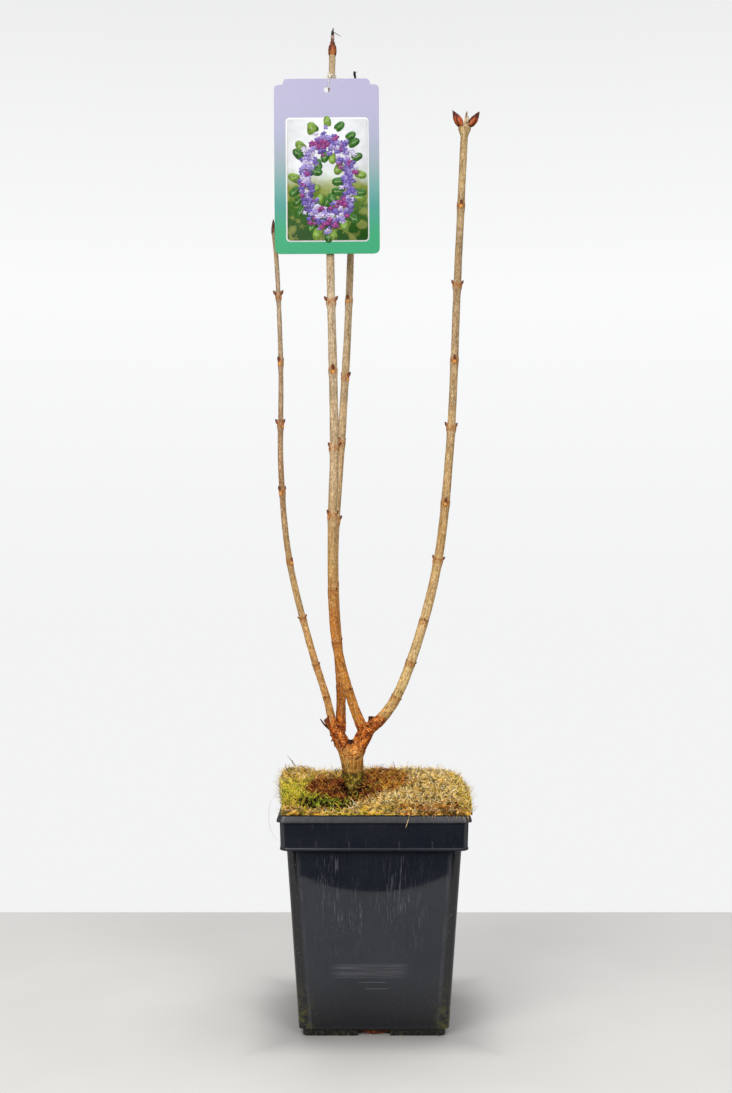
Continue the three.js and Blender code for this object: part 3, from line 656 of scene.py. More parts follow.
def bud_finish(name, base, middle, tip):
    """Bud scales of three mottled colours from foot to tip, with painted glints, and dark rims that are
    partly the scales' own dark edges and partly painted shade.
    """
    f = Finish(name, 0.32, 0.2)
    mottle = f.calc("SUBTRACT", f.noise(f.place, 900, 4, 0.6), 0.5)
    spot = f.calc("ADD", f.mark("reach"), f.times(mottle, 0.5))
    colour = f.ramp(spot, [(0.05, base), (0.45, middle), (0.92, tip)])
    glints = f.span(f.noise(f.place, 1, 3, 0.6, (1300, 1300, 700)), 0.54, 0.62, 0, 0.6)
    colour = f.tint(colour, (0.75, 0.28, 0.12), glints)
    # Dark scale rims: partly the scales' own edges, partly painted shade.
    colour = f.tint(colour, (0.028, 0.006, 0.003), f.mark("rim"))
    ribs = f.noise(f.place, 1, 3, 0.5, (2500, 2500, 500))
    return f.done(colour, f.bump(ribs, 0.0003, 0.4))


def pot_finish():
    """Dark moulded plastic, scuffed, streaked by dried drips, with algae at its lower corners, with painted
    shade on its corners and towards its foot, and painted highlights on its panel edges and rib flanks.
    """
    f = Finish("pot_plastic", 0.16, 0.44)
    x, y, z = f.axes(f.place)
    cloud = f.noise(f.place, 22, 3, 0.5)
    colour = f.ramp(cloud, [(0.3, (0.0085, 0.0105, 0.016)), (0.7, (0.014, 0.016, 0.022))])
    from_middle = f.calc("MINIMUM", f.calc("ABSOLUTE", x), f.calc("ABSOLUTE", y))
    inwards = f.calc("SUBTRACT", from_middle, f.times(z, 0.0638))
    corner = f.times(f.span(inwards, 0.0562, 0.0602), f.span(z, 0.168, 0.167))
    # Painted shade: the plain corners darkened almost to black.
    colour = f.tint(colour, (0.004, 0.004, 0.0038), corner, 0.8)
    # Painted shade: the panels darkened towards the foot.
    colour = f.tint(colour, (0.003, 0.0032, 0.0045), f.span(z, 0.06, 0.012, 0, 0.85))
    # Painted highlight: a lighter line along each panel's sunken edge, broken up by noise.
    edge = f.times(f.near(inwards, 0.0560, 0.0018, 0.0007), f.span(z, 0.1672, 0.1662))
    edge_highlight_breakup = f.span(f.noise(f.place, 60, 4, 0.6), 0.35, 0.65, 0.15, 0.7)
    colour = f.tint(colour, (0.032, 0.034, 0.040), edge, edge_highlight_breakup)

    # Dried drips: upright streaks, broken up, on the upper half of each panel.
    drip = f.times(
        f.span(f.noise(f.place, 1, 2, 0.5, (1500, 1500, 5)), 0.59, 0.64),
        f.span(f.noise(f.place, 1, 3, 0.6, (70, 70, 14)), 0.4, 0.58, 0.15, 1.0),
        f.span(z, 0.055, 0.13), f.span(z, 0.166, 0.16), f.span(from_middle, 0.056, 0.046),
    )
    colour = f.tint(colour, (0.10, 0.105, 0.12), drip, 0.55)

    # A scuffed patch and two scratches low on the front, then painted highlights on the flanks of the ribs.
    scuff = f.times(
        f.span(f.noise(f.place, 1, 3, 0.6, (16, 16, 2200)), 0.42, 0.6),
        f.span(z, 0.052, 0.056), f.span(z, 0.068, 0.064),
        f.span(x, -0.042, -0.026), f.span(x, 0.034, 0.02),
    )
    for height, left, right in ((0.0495, -0.012, 0.009), (0.0436, -0.006, 0.011)):
        line = f.near(z, height, 0.0005, 0.0002)
        scratch = f.times(line, f.span(x, left - 0.003, left), f.span(x, right + 0.003, right))
        scuff = f.calc("MAXIMUM", scuff, scratch)
    colour = f.tint(colour, (0.085, 0.086, 0.095), scuff, f.span(y, -0.055, -0.06), 0.55)
    # Painted highlight: lighter flanks on the ribs.
    for place in (0.022, 0.051):
        rib_flank_highlight = f.times(f.near(from_middle, place, 0.001, 0.0006), f.span(z, 0.1685, 0.1695))
        colour = f.tint(colour, (0.03, 0.03, 0.036), rib_flank_highlight, f.span(z, 0.178, 0.176))

    rim = f.span(z, 0.1925, 0.1935)
    worn = f.span(f.noise(f.place, 240, 4, 0.65), 0.35, 0.65, 0.35, 1.0)
    colour = f.tint(colour, (0.07, 0.062, 0.066), rim, worn, 0.4)
    nicks = f.span(f.noise(f.place, 1, 2, 0.5, (1300, 1300, 40)), 0.66, 0.74)
    colour = f.tint(colour, (0.10, 0.10, 0.11), nicks, f.span(z, 0.169, 0.172), 0.35)

    # Dust, most of it on the plain corners, algae and grime towards the foot, and painted shade at the very
    # foot.
    dust = f.span(f.cells(f.place, 420), 0.12, 0.07)
    colour = f.tint(colour, (0.24, 0.24, 0.22), dust, f.calc("ADD", f.times(corner, 0.7), 0.25))
    growth = f.span(f.noise(f.place, 150, 5, 0.7), 0.42, 0.6)
    algae = f.times(growth, f.span(f.calc("ABSOLUTE", x), 0.050, 0.064), f.span(z, 0.06, 0.004))
    colour = f.tint(colour, (0.06, 0.055, 0.008), algae, 0.8)
    # Painted shade: the lowest few millimetres darkened almost to black.
    colour = f.tint(colour, (0.002, 0.002, 0.0015), f.span(z, 0.0075, 0.0055, 0, 0.85))
    grime = f.span(f.noise(f.place, 420, 4, 0.6), 0.5, 0.6)
    colour = f.tint(colour, (0.035, 0.030, 0.010), grime, f.span(z, 0.009, 0.002), 0.7)

    peel = f.bump(f.noise(f.place, 520, 3, 0.6), 0.00004, 0.06)
    rough = f.span(f.noise(f.place, 60, 4, 0.6), 0.3, 0.7, 0.03, 0.06)
    bead = f.near(z, 0.1695, 0.002, 0.0012)
    for worn_part, amount in ((drip, 0.084), (rim, 0.28), (algae, 0.28), (corner, 0.1), (bead, 0.25)):
        rough = f.calc("ADD", rough, f.times(worn_part, amount))
    return f.done(colour, peel, rough)


def compost_finish():
    """Dark moist crumbs of compost."""
    f = Finish("compost", 0.95, 0.2)
    crumbs = f.noise(f.place, 420, 6, 0.7)
    colour = f.ramp(crumbs, [
        (0.3, (0.012, 0.006, 0.003)), (0.5, (0.045, 0.02, 0.009)), (0.7, (0.14, 0.06, 0.025)),
    ])
    return f.done(colour, f.bump(crumbs, 0.0015, 1.0))


def mat_finish():
    """The felted body of the mulch mat under its loose fibres, dark partly in its own colour and partly as
    painted shade between the fibres.
    """
    f = Finish("mulch_body", 0.95, 0.08)
    x, y, _ = f.axes(f.place)
    fuzz = f.noise(f.place, 380, 6, 0.7)
    # Dark browns: partly the felt's own colour, partly painted shade in the gaps between the loose fibres.
    straw = f.ramp(fuzz, [
        (0.3, (0.012, 0.005, 0.002)), (0.5, (0.045, 0.022, 0.006)), (0.72, (0.17, 0.10, 0.025)),
    ])
    rust = f.ramp(fuzz, [
        (0.3, (0.006, 0.002, 0.001)), (0.5, (0.022, 0.007, 0.004)), (0.7, (0.08, 0.024, 0.010)),
    ])
    olive = f.ramp(fuzz, [
        (0.3, (0.007, 0.006, 0.002)), (0.5, (0.035, 0.03, 0.006)), (0.7, (0.13, 0.11, 0.018)),
    ])
    middle = f.stretch(f.place, (1, 1, 0))
    node = f.add("ShaderNodeVectorMath", operation="DISTANCE")
    f.plug(middle, node.inputs[0])
    node.inputs[1].default_value = (-0.016, -0.006, 0)
    away = f.calc("ADD", node.outputs["Value"], f.times(f.noise(f.place, 60, 3), 0.02))
    colour = f.tint(straw, rust, f.span(away, 0.052, 0.03))
    left = f.span(f.calc("ADD", x, f.times(f.noise(f.place, 50, 3), 0.03)), -0.01, -0.035)
    colour = f.tint(colour, olive, left, f.span(y, 0.02, -0.03), 0.8)
    return f.done(colour, f.bump(fuzz, 0.002, 1.0))


def fibre_finish(name, colour):
    """Dry plant fibre of one plain colour, a little uneven along its length."""
    f = Finish(name, 0.75, 0.08)
    uneven = f.noise(f.place, 240, 3, 0.6)
    return f.done(f.tone(colour, uneven, [(0.38, 0.3), (0.5, 0.95), (0.62, 1.5)]))


def card_finish():
    """Glossy print that runs from lavender through grey-blue to green."""
    f = Finish("card_print", 0.3, 0.5)
    height = f.axes(f.place)[2]
    colour = f.ramp(f.span(height, 0.7, 0.862), [
        (0.04, (0.021, 0.32, 0.14)), (0.2, (0.053, 0.28, 0.24)), (0.36, (0.145, 0.33, 0.32)),
        (0.55, (0.286, 0.36, 0.40)), (0.78, (0.375, 0.386, 0.53)), (0.96, (0.42, 0.40, 0.565)),
    ])
    colour = f.tone(colour, f.noise(f.place, 1400, 3, 0.6), [(0.3, 0.97), (0.7, 1.03)])
    return f.done(colour, f.bump(f.noise(f.place, 90, 2), 0.0004, 0.15))


def print_finish(name, colour, spread=0.12, scale=800):
    """One ink of the card's picture, a little uneven as print is."""
    f = Finish(name, 0.3, 0.5)
    uneven = f.noise(f.place, scale, 3, 0.6)
    return f.done(f.tone(colour, uneven, [(0.3, 1 - spread), (0.7, 1 + spread)]))


def picture_finish():
    """The picture's ground: a pale sky over soft greens."""
    f = Finish("picture_ground", 0.3, 0.5)
    height = f.axes(f.place)[2]
    waver = f.times(f.noise(f.place, 70, 3, 0.6), 0.02)
    level = f.span(f.calc("ADD", height, waver), 0.72, 0.84)
    colour = f.ramp(level, [
        (0.02, (0.022, 0.10, 0.012)), (0.25, (0.06, 0.17, 0.02)), (0.42, (0.22, 0.26, 0.03)),
        (0.56, (0.55, 0.60, 0.54)), (0.66, (0.66, 0.67, 0.70)), (0.9, (0.68, 0.69, 0.71)),
    ])
    glade = f.span(f.noise(f.place, 110, 4, 0.6), 0.5, 0.62)
    colour = f.tint(colour, (0.33, 0.37, 0.09), glade, f.span(level, 0.5, 0.35), 0.8)
    return f.done(f.tone(colour, f.noise(f.place, 160, 3, 0.6), [(0.3, 0.92), (0.7, 1.06)]))


def thread_finish():
    """Off-white cotton, darker here and there."""
    f = Finish("thread", 0.7, 0.3)
    tone = f.ramp(f.noise(f.place, 1500, 3, 0.6), [
        (0.34, (0.50, 0.42, 0.30)), (0.44, (0.80, 0.75, 0.64)), (0.6, (0.92, 0.88, 0.78)),
    ])
    return f.done(tone)


# ------------------------------------------------------------------ bark relief


def cane_radius(cane, height):
    """A cane's plain radius at a height, without its bark's relief."""
    foot, top = cane["path"][0][2], cane["path"][-1][2]
    left = max((top - height) / (top - foot), 0)
    flare = BASE_FLARE * max(1 - (height - foot) / BASE_FLARE_REACH, 0)
    return lerp(cane["tip"], cane["base"], left ** cane["taper"]) + flare


def young_relief(grain):
    """How far young bark stands out, in millimetres: long soft ridges, wrinkles and pores."""
    gx, gy, run = grain
    wave = ripple(gx * 0.12, gy * 0.12, run * 0.035) * 0.16
    ridge = ripple(gx * 0.7, gy * 0.7, run * 0.05 + 31) * 0.12
    grit = ripple(gx * 1.7, gy * 1.7, run * 0.7 + 7) * 0.05
    distance = noise.voronoi(Vector((gx * 0.62, gy * 0.62, run * 0.36)))[0][0]
    return wave + ridge + grit + 0.12 * smooth(0.24, 0.08, distance)


def old_relief(grain):
    """Old bark's relief and how deep in a crack each point is."""
    gx, gy, run = grain
    wander = ripple(gx * 0.25, gy * 0.25, run * 0.12) * 1.6
    furrow = abs(ripple(gx * 0.42 + wander * 0.4, gy * 0.42, run * 0.075 + 5))
    plate = abs(ripple(gx * 0.3, gy * 0.3 + wander * 0.3, run * 0.3 + 19))
    crack = min(max(1 - furrow / 0.085, 0) + 0.7 * max(1 - plate / 0.05, 0), 1)
    lump = noise.fractal(Vector((gx * 0.2, gy * 0.2, run * 0.14)), 0.9, 2.1, 4) * 0.55
    grit = ripple(gx * 1.5, gy * 1.5, run * 0.8 + 3) * 0.12
    return lump + grit - 0.5 * crack, crack


def node_vigour(height):
    """1 on young wood, where buds are plump, down to little on the old wood low on a cane."""
    return lerp(0.25, 1, smooth(350, 470, height))


def cane_bark(name, finish):
    """A cane with its bark's relief, swollen at each bud pair over two leaf scars."""
    cane = CANES[name]
    stops = stations(cane["path"], RING_STEP)
    heights = [stop.place.z for stop in stops]
    runs = [stop.run for stop in stops]
    nodes = [
        (float(np.interp(height, heights, runs)), math.radians(turn), node_vigour(height))
        for height, turn in cane["buds"]
    ]
    bm = rod(CANE_SIDES, len(stops))
    grain_layer = bm.verts.layers.float_vector.new("grain")
    layers = {key: bm.verts.layers.float.new(key) for key in ("crack", "node", "scar", "dirt_and_shade")}
    length = runs[-1]
    for vert in bm.verts:
        ring, turn = rod_place(vert, len(stops))
        stop = stops[ring]
        radius = cane_radius(cane, stop.place.z)
        grain = Vector((math.cos(turn) * radius, math.sin(turn) * radius, stop.run))
        age = smooth(430, 290, stop.place.z)
        rise = young_relief(grain)
        crack = 0
        if age > 0:
            old, crack = old_relief(grain)
            rise = lerp(rise, old * 0.5, age)
            crack *= age
        node = scar = dirt_and_shade = 0
        for node_run, node_turn, vigour in nodes:
            above = stop.run - node_run
            if -13 < above < 7:
                swell = smooth(-11, -1.2, above) * smooth(3.2, 0, above)
                node = max(node, smooth(-7, -1.5, above) * smooth(2.6, 0, above))
                rise += NODE_SWELL * swell * vigour
                groove = bell(above, -0.2, 0.55)
                dirt_and_shade = max(dirt_and_shade, groove * (1 - vigour) * 0.8)
                for facing in (node_turn, node_turn + math.pi):
                    off = (turn - facing + math.pi) % (2 * math.pi) - math.pi
                    aside = off * radius
                    shelf = bell(aside, 0, 1.7) * smooth(-7.5, -1.8, above) * smooth(0.2, -1.4, above)
                    rise += NODE_SHELF * shelf * vigour
                    face = 1 - math.hypot(aside / 1.8, (above + 2.7) / 1.5)
                    scar = max(scar, smooth(0, 0.3, face) * smooth(0.2, 0.8, vigour))
                    # Painted shadow: a dark ring round each leaf scar.
                    lip = 1 - abs(math.hypot(aside / 2.1, (above + 2.5) / 1.9) - 1) / 0.22
                    dirt_and_shade = max(dirt_and_shade, smooth(0, 1, lip) * 0.75 * vigour)
        crown = smooth(10, 1, length - stop.run) * cane["crown"]
        spot = stop.around(turn, radius + rise)
        spot += stop.across * math.cos(turn) * crown
        vert.co = spot
        vert[grain_layer] = grain
        vert[layers["crack"]] = crack * (1 - scar)
        vert[layers["node"]] = node
        vert[layers["scar"]] = scar
        vert[layers["dirt_and_shade"]] = dirt_and_shade
    piece = finish_piece(name + "_bark", bm, finish)
    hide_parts(name)
    return stops, nodes


def fork_grain(spots):
    """The bark's own directions on the trunk and arms: upright, leaning out along each arm."""
    side = np.clip((spots[:, 0] + 26) / 13, 0, 1)
    side = side * side * (3 - 2 * side)
    lean = lerp(-0.46, 0.55, side) * np.maximum(spots[:, 2] - 240, 0)
    return np.stack([spots[:, 0] + 19.5 - lean, spots[:, 1] + 8, spots[:, 2]], axis=1)


def line_gap(spot, start, stop):
    """How far a flat place is from the straight line between two others."""
    start, stop = Vector(start), Vector(stop)
    along = stop - start
    part = min(max((spot - start).dot(along) / along.length_squared, 0), 1)
    return (spot - start - along * part).length


def old_wood(finish):
    """Trunk, arms, stubs and the canes' lowest ends grown together into one barked form."""
    stubs = [CROTCH_STUB, RIGHT_STUB, LEFT_STUB]
    limbs = [TRUNK, LEFT_COLLAR, RIGHT_COLLAR, LEFT_ARM, RIGHT_ARM, *stubs]
    first_cane = len(limbs)
    for cane in CANES.values():
        part = [stop for stop in stations(cane["path"], 1.5) if stop.run < CANE_SLEEVE][::4]
        limbs.append({
            "path": [tuple(stop.place) for stop in part],
            "radii": [
                cane_radius(cane, stop.place.z) + 0.7 - 1.5 * stop.run / CANE_SLEEVE for stop in part
            ],
        })
    whole = bmesh.new()
    for limb in limbs:
        join_into(whole, limb_mesh(limb["path"], limb["radii"], 24, 1.0))
    bm = with_modifier(whole, "REMESH", mode="VOXEL", voxel_size=WOOD_VOXEL)
    for _ in range(WOOD_SMOOTHINGS):
        bmesh.ops.smooth_vert(
            bm, verts=bm.verts, factor=0.5, use_axis_x=True, use_axis_y=True, use_axis_z=True
        )
    bm.normal_update()
    spots = np.array([v.co[:] for v in bm.verts])
    best = np.full(len(spots), 1e9)
    grains = np.zeros((len(spots), 3))
    ends = np.zeros(len(spots))
    for number, limb in enumerate(limbs):
        stops = stations(limb["path"], 0.8)
        places = np.array([s.place[:] for s in stops])
        radii = np.interp([s.part for s in stops], np.linspace(0, 1, len(limb["radii"])), limb["radii"])
        gaps = np.linalg.norm(spots[:, None, :] - places[None, :, :], axis=2) - radii[None, :]
        nearest = gaps.argmin(axis=1)
        gap = gaps[np.arange(len(spots)), nearest]
        across = np.array([s.across[:] for s in stops])[nearest]
        back = np.array([s.back[:] for s in stops])[nearest]
        offset = spots - places[nearest]
        own = np.stack([
            (offset * across).sum(axis=1), (offset * back).sum(axis=1),
            np.array([s.run for s in stops])[nearest] + number * 40,
        ], axis=1)
        if number < first_cane:
            own = fork_grain(spots)
        better = gap < best
        best = np.where(better, gap, best)
        grains[better] = own[better]
        part = nearest / len(stops)
        ends[better] = (np.clip(part * 1.6 - 0.5, 0, 0.85) * (limb in stubs))[better]
    grain_layer = bm.verts.layers.float_vector.new("grain")
    crack_layer = bm.verts.layers.float.new("crack")
    dirt_and_shade_layer = bm.verts.layers.float.new("dirt_and_shade")
    moves = []
    for vert, grain, end in zip(bm.verts, grains, ends):
        rise, crack = old_relief(grain)
        wander = noise.noise(vert.co * 0.35) * 0.8
        ledge = 0.5 * smooth(SOIL_LINE + 0.9, SOIL_LINE - 0.7, vert.co.z + wander)
        ring = bell(vert.co.z + wander, SOIL_LINE, 0.6)
        seam = 0
        for start, stop in FORK_SEAMS:
            gap = line_gap(vert.co.xz, start, stop)
            seam = max(seam, bell(gap, 0, 0.6) * smooth(-6, -9, vert.co.y))
        moves.append(vert.normal * (rise * (1 - 0.6 * end) * 0.8 + ledge - 0.7 * seam))
        vert[grain_layer] = grain
        vert[crack_layer] = max(crack, seam)
        vert[dirt_and_shade_layer] = max(end, ring * 0.8, seam * 0.7)
    for vert, move in zip(bm.verts, moves):
        vert.co += move
        if vert.co.z < TRUNK_FOOT + 0.2:
            vert.co.z = TRUNK_FOOT
    piece = finish_piece("old_wood", bm, finish)
    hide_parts("trunk", "left_arm", "right_arm")


# ------------------------------------------------------------------ buds


def bud_profile(part, radius):
    """The bud's radius at a part of its length: a narrow foot, a full belly and a drawn-out tip."""
    return radius * max(math.sin(math.pi * min(part * 0.93 + 0.07, 1) ** 0.72), 0) ** 0.8


def bud_shape():
    """An empty shape that notes how far up its bud each point is, and how near a scale's rim."""
    bm = bmesh.new()
    reach = bm.verts.layers.float.new("reach")
    rim = bm.verts.layers.float.new("rim")
    return bm, reach, rim


def bud_mesh(length, radius, tiers, open_by, fine):
    """A bud of overlapping scales in crossing pairs, upright on its foot."""
    bm, reach, _ = bud_shape()
    steps = 8 * fine
    profile = [
        bm.verts.new((bud_profile(i / steps, radius * 0.9), 0, length * i / steps)) for i in range(steps)
    ]
    profile.append(bm.verts.new((0, 0, length)))
    edges = [bm.edges.new(pair) for pair in zip(profile, profile[1:])]
    bmesh.ops.spin(
        bm, geom=profile + edges, cent=(0, 0, 0), axis=(0, 0, 1), angle=2 * math.pi,
        steps=10 * fine, use_merge=True,
    )
    bmesh.ops.remove_doubles(bm, verts=bm.verts, dist=1e-4)
    foot = [e for e in bm.edges if e.is_boundary]
    bmesh.ops.holes_fill(bm, edges=foot, sides=0)
    bmesh.ops.recalc_face_normals(bm, faces=bm.faces)
    for vert in bm.verts:
        vert[reach] = vert.co.z / length
    for tier in range(tiers):
        start = 0.5 * tier / tiers
        stop = lerp(0.62, 1.02, (tier + 1) / tiers)
        for side in (0, 1):
            scale, scale_reach, scale_rim = bud_shape()
            bmesh.ops.create_grid(scale, x_segments=4 * fine, y_segments=5 * fine, size=1)
            facing = math.pi * side + math.pi / 2 * tier
            for vert in scale.verts:
                u, v = vert.co.x, (vert.co.y + 1) / 2
                part = lerp(start, stop, v)
                half_turn = 1.45 * max(1 - v ** 2.4, 0.02) ** 0.6
                lift = 1.03 + 0.05 * (tiers - tier) + open_by * v * v
                around = bud_profile(min(part, 0.995), radius) * lift + 0.1 * v
                turn = facing + u * half_turn
                vert.co = (math.cos(turn) * around, math.sin(turn) * around, part * length)
                vert[scale_reach] = part
                vert[scale_rim] = smooth(0.5, 1.0, max(abs(u), v))
            bmesh.ops.solidify(scale, geom=scale.faces, thickness=0.12)
            join_into(bm, scale)
    return bm


def place_bud(bm, foot, tip, roll):
    """Stands an upright bud on its foot, pointing at its tip."""
    direction = (tip - foot).normalized()
    turn = direction.to_track_quat("Z", "Y").to_matrix().to_4x4()
    matrix = Matrix.Translation(foot) @ turn @ Matrix.Rotation(roll, 4, "Z")
    bmesh.ops.transform(bm, matrix=matrix, verts=bm.verts)
    return bm


def side_buds(name, stops, nodes, finish):
    """The opposite buds up a cane, joined."""
    cane = CANES[name]
    whole, _, _ = bud_shape()
    runs = [stop.run for stop in stops]
    for number, (run, turn, vigour) in enumerate(nodes):
        stop = stops[int(np.searchsorted(runs, run))]
        radius = cane_radius(cane, stop.place.z)
        for side in (0, 1):
            vary = ripple(number * 3.7, side * 5.1, len(name))
            size = (1 + 0.22 * vary) * lerp(0.35, 1, vigour)
            outward = stop.around(turn + side * math.pi, 1) - stop.place
            foot = stop.place + outward * (radius * 0.8) - stop.along * 1.0
            lean = math.radians(BUD_LEAN + 14 * vary)
            aim = stop.along * math.cos(lean) + outward * math.sin(lean)
            bud = bud_mesh(BUD_LENGTH * size, BUD_RADIUS * size, 2, 0.06, 1)
            join_into(whole, place_bud(bud, foot, foot + aim, turn + math.pi / 2))
    finish_piece(name + "_buds", whole, finish)


def bud_group(name, buds, finish, tiers=4, fine=2):
    """Large buds, each given by its foot, tip and radius, joined."""
    whole, _, _ = bud_shape()
    for number, (foot, tip, radius) in enumerate(buds):
        foot, tip = Vector(foot), Vector(tip)
        bud = bud_mesh((tip - foot).length, radius, tiers, 0.05, fine)
        join_into(whole, place_bud(bud, foot, tip, 0.6 + number * 1.9))
    finish_piece(name, whole, finish)


def strand_group(name, strands, finish, step=0.5):
    """Thin round strands, each given by its path and radii, joined."""
    whole = bmesh.new()
    for one in strands:
        join_into(whole, strand(one["path"], one["radii"], step))
    return finish_piece(name, whole, finish)


def cut_ends(finish):
    """The flat dark tops of the stubs in the fork and on the right arm."""
    whole = bmesh.new()
    for foot, top, radius in CUT_ENDS:
        join_into(whole, limb_mesh([foot, top], [radius * 0.96, radius], 24, 0.25, 0.5))
    finish_piece("cut_ends", whole, finish)


def bark_flakes(finish):
    """Loose scales of bark that lift away along the left arm's edge and round the old cuts."""
    whole = bmesh.new()
    rng = np.random.default_rng(5)
    spots = [(-36.2, -6.4, 251), (-38.4, -5.6, 255.4), (-40.0, -5, 260.4), (-4.6, -9.2, 262),
             (-2, -7, 268), (-12, -12.8, 247), (-36.8, -7.2, 268)]
    for x, y, z in spots:
        scale = bmesh.new()
        bmesh.ops.create_grid(scale, x_segments=3, y_segments=4, size=1)
        wide, tall, curl = rng.uniform(0.5, 0.9), rng.uniform(1.4, 2.3), rng.uniform(0.5, 1.2)
        for vert in scale.verts:
            u, v = vert.co.x, vert.co.y
            vert.co = (u * wide * (1 - 0.5 * max(v, 0)), -curl * v * v - 0.2 * u * u, v * tall)
        bmesh.ops.solidify(scale, geom=scale.faces, thickness=0.25)
        turn = Matrix.Rotation(rng.uniform(-0.5, 0.5), 4, "Z")
        lean = Matrix.Rotation(rng.uniform(-0.4, 0.4), 4, "Y")
        bmesh.ops.transform(scale, matrix=Matrix.Translation((x, y, z)) @ turn @ lean, verts=scale.verts)
        join_into(whole, scale)
    finish_piece("bark_flakes", whole, finish)


# ------------------------------------------------------------------ pot


def rounded_plate(width, height, corner, segments=8):
    """One flat face with rounded corners, about the middle, in the XY plane."""
    bm = bmesh.new()
    bmesh.ops.create_grid(bm, x_segments=1, y_segments=1, size=0.5)
    bmesh.ops.scale(bm, vec=(width, height, 1), verts=bm.verts)
    bmesh.ops.bevel(
        bm, geom=bm.verts[:], offset=corner, offset_type="OFFSET", segments=segments, profile=0.5,
        affect="VERTICES", material=-1,
    )
    return bm


def next_ring(bm, ring, grow):
    """Extrudes an open edge ring, grown about the pot's middle: its new points and edges."""
    made = bmesh.ops.extrude_edge_only(bm, edges=ring)["geom"]
    verts = [item for item in made if isinstance(item, bmesh.types.BMVert)]
    for vert in verts:
        vert.co.xy *= grow
    fresh = set(verts)
    edges = [item for item in made if isinstance(item, bmesh.types.BMEdge)]
    return verts, [e for e in edges if e.verts[0] in fresh and e.verts[1] in fresh]


def pot_panels(bm):
    """Sinks a panel into each side wall and bows it outwards."""
    walls = [
        f for f in bm.faces
        if f.calc_area() > 9000 and f.calc_center_median().z > 60
        and f.normal.xy.dot(f.calc_center_median().xy) > 1
    ]
    step_corners = []
    for sink in (0.0, *PANEL_SINKS, 0.0):
        bmesh.ops.inset_individual(
            bm, faces=walls, thickness=PANEL_STEP, depth=-sink, use_even_offset=True
        )
        step_corners += [vert for wall in walls for vert in wall.verts]
    for vert in step_corners:
        for level, kept in ((PANEL_TOP, 0.1), (PANEL_FOOT, 0.5)):
            gap = vert.co.z - level
            if 0 < abs(gap) < 7 * PANEL_STEP + 1:
                vert.co.z = level + gap * kept
    panels = [[vert.co.copy() for vert in wall.verts] for wall in walls]
    edges = [edge for wall in walls for edge in wall.edges]
    bmesh.ops.subdivide_edges(bm, edges=edges, cuts=PANEL_CUTS, use_grid_fill=True)
    for corners in panels:
        bow_panel(bm, corners)


def bow_panel(bm, corners):
    """Pushes the points that lie on one panel outwards, the most in its middle."""
    middle = sum(corners, Vector()) / 4
    out = (corners[1] - corners[0]).cross(corners[2] - corners[1]).normalized()
    if out.dot(middle) < 0:
        out = -out
    tall = max(c.z for c in corners) - middle.z
    foot_half = max((c - middle).xy.length for c in corners if c.z < middle.z)
    top_half = max((c - middle).xy.length for c in corners if c.z > middle.z)
    sideways = Vector((0, 0, 1)).cross(out).normalized()
    for vert in bm.verts:
        if abs((vert.co - middle).dot(out)) > 0.05:
            continue
        up = (vert.co.z - middle.z) / tall
        half = lerp(foot_half, top_half, (up + 1) / 2)
        aside = (vert.co - middle).dot(sideways) / half
        vert.co += out * PANEL_BOW * max(1 - up * up, 0) * max(1 - aside * aside, 0)


def pot_ribs(bm):
    """Short upright ribs at the foot of the band, on all four sides."""
    for quarter in range(4):
        for place in RIB_PLACES:
            rib = bmesh.new()
            bmesh.ops.create_cube(rib, size=1)
            bmesh.ops.scale(rib, vec=RIB_SIZE, verts=rib.verts)
            bmesh.ops.bevel(
                rib, geom=rib.edges[:], offset=0.3, offset_type="OFFSET", segments=2, profile=0.5,
                affect="EDGES", material=-1,
            )
            turn = Matrix.Rotation(quarter * math.pi / 2, 4, "Z")
            matrix = turn @ Matrix.Translation((place, *RIB_MIDDLE))
            bmesh.ops.transform(rib, matrix=matrix, verts=rib.verts)
            join_into(bm, rib)


def pot_shell(finish):
    """The moulded pot: foot, bowed panels between plain corners, ribbed band and sloping rim."""
    width, _ = POT_OUTSIDE[0]
    bm = rounded_plate(width, width, POT_CORNER)
    ring = [e for e in bm.edges if e.is_boundary]
    for next_width, height in POT_OUTSIDE[1:] + POT_INSIDE:
        verts, ring = next_ring(bm, ring, next_width / width)
        for vert in verts:
            vert.co.z = height
        width = next_width
    bmesh.ops.holes_fill(bm, edges=ring, sides=0)
    bmesh.ops.recalc_face_normals(bm, faces=bm.faces)
    pot_panels(bm)
    cutter = drain_cutter()
    bm = with_modifier(bm, "BOOLEAN", operation="DIFFERENCE", solver="EXACT", object=cutter)
    bpy.data.meshes.remove(cutter.data)
    pot_ribs(bm)
    join_into(bm, moulded_ring(-51, 16))
    piece = finish_piece("pot_moulding", bm, finish)
    piece.data.set_sharp_from_angle(angle=math.radians(14))
    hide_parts("pot")


def drain_cutter():
    """The notches through the foot's four sides, as one shape to cut away."""
    bm = bmesh.new()
    for quarter in range(4):
        made = bmesh.ops.create_cube(bm, size=1)["verts"]
        bmesh.ops.scale(bm, vec=(DRAIN["width"], DRAIN["depth"] * 2, DRAIN["height"] * 2), verts=made)
        turn = Matrix.Rotation(quarter * math.pi / 2, 4, "Z")
        matrix = turn @ Matrix.Translation((0, -POT_OUTSIDE[0][0] / 2, 0))
        bmesh.ops.transform(bm, matrix=matrix, verts=made)
    mesh = bpy.data.meshes.new("drain_cutter")
    bm.to_mesh(mesh)
    bm.free()
    return place_object("drain_cutter", mesh)


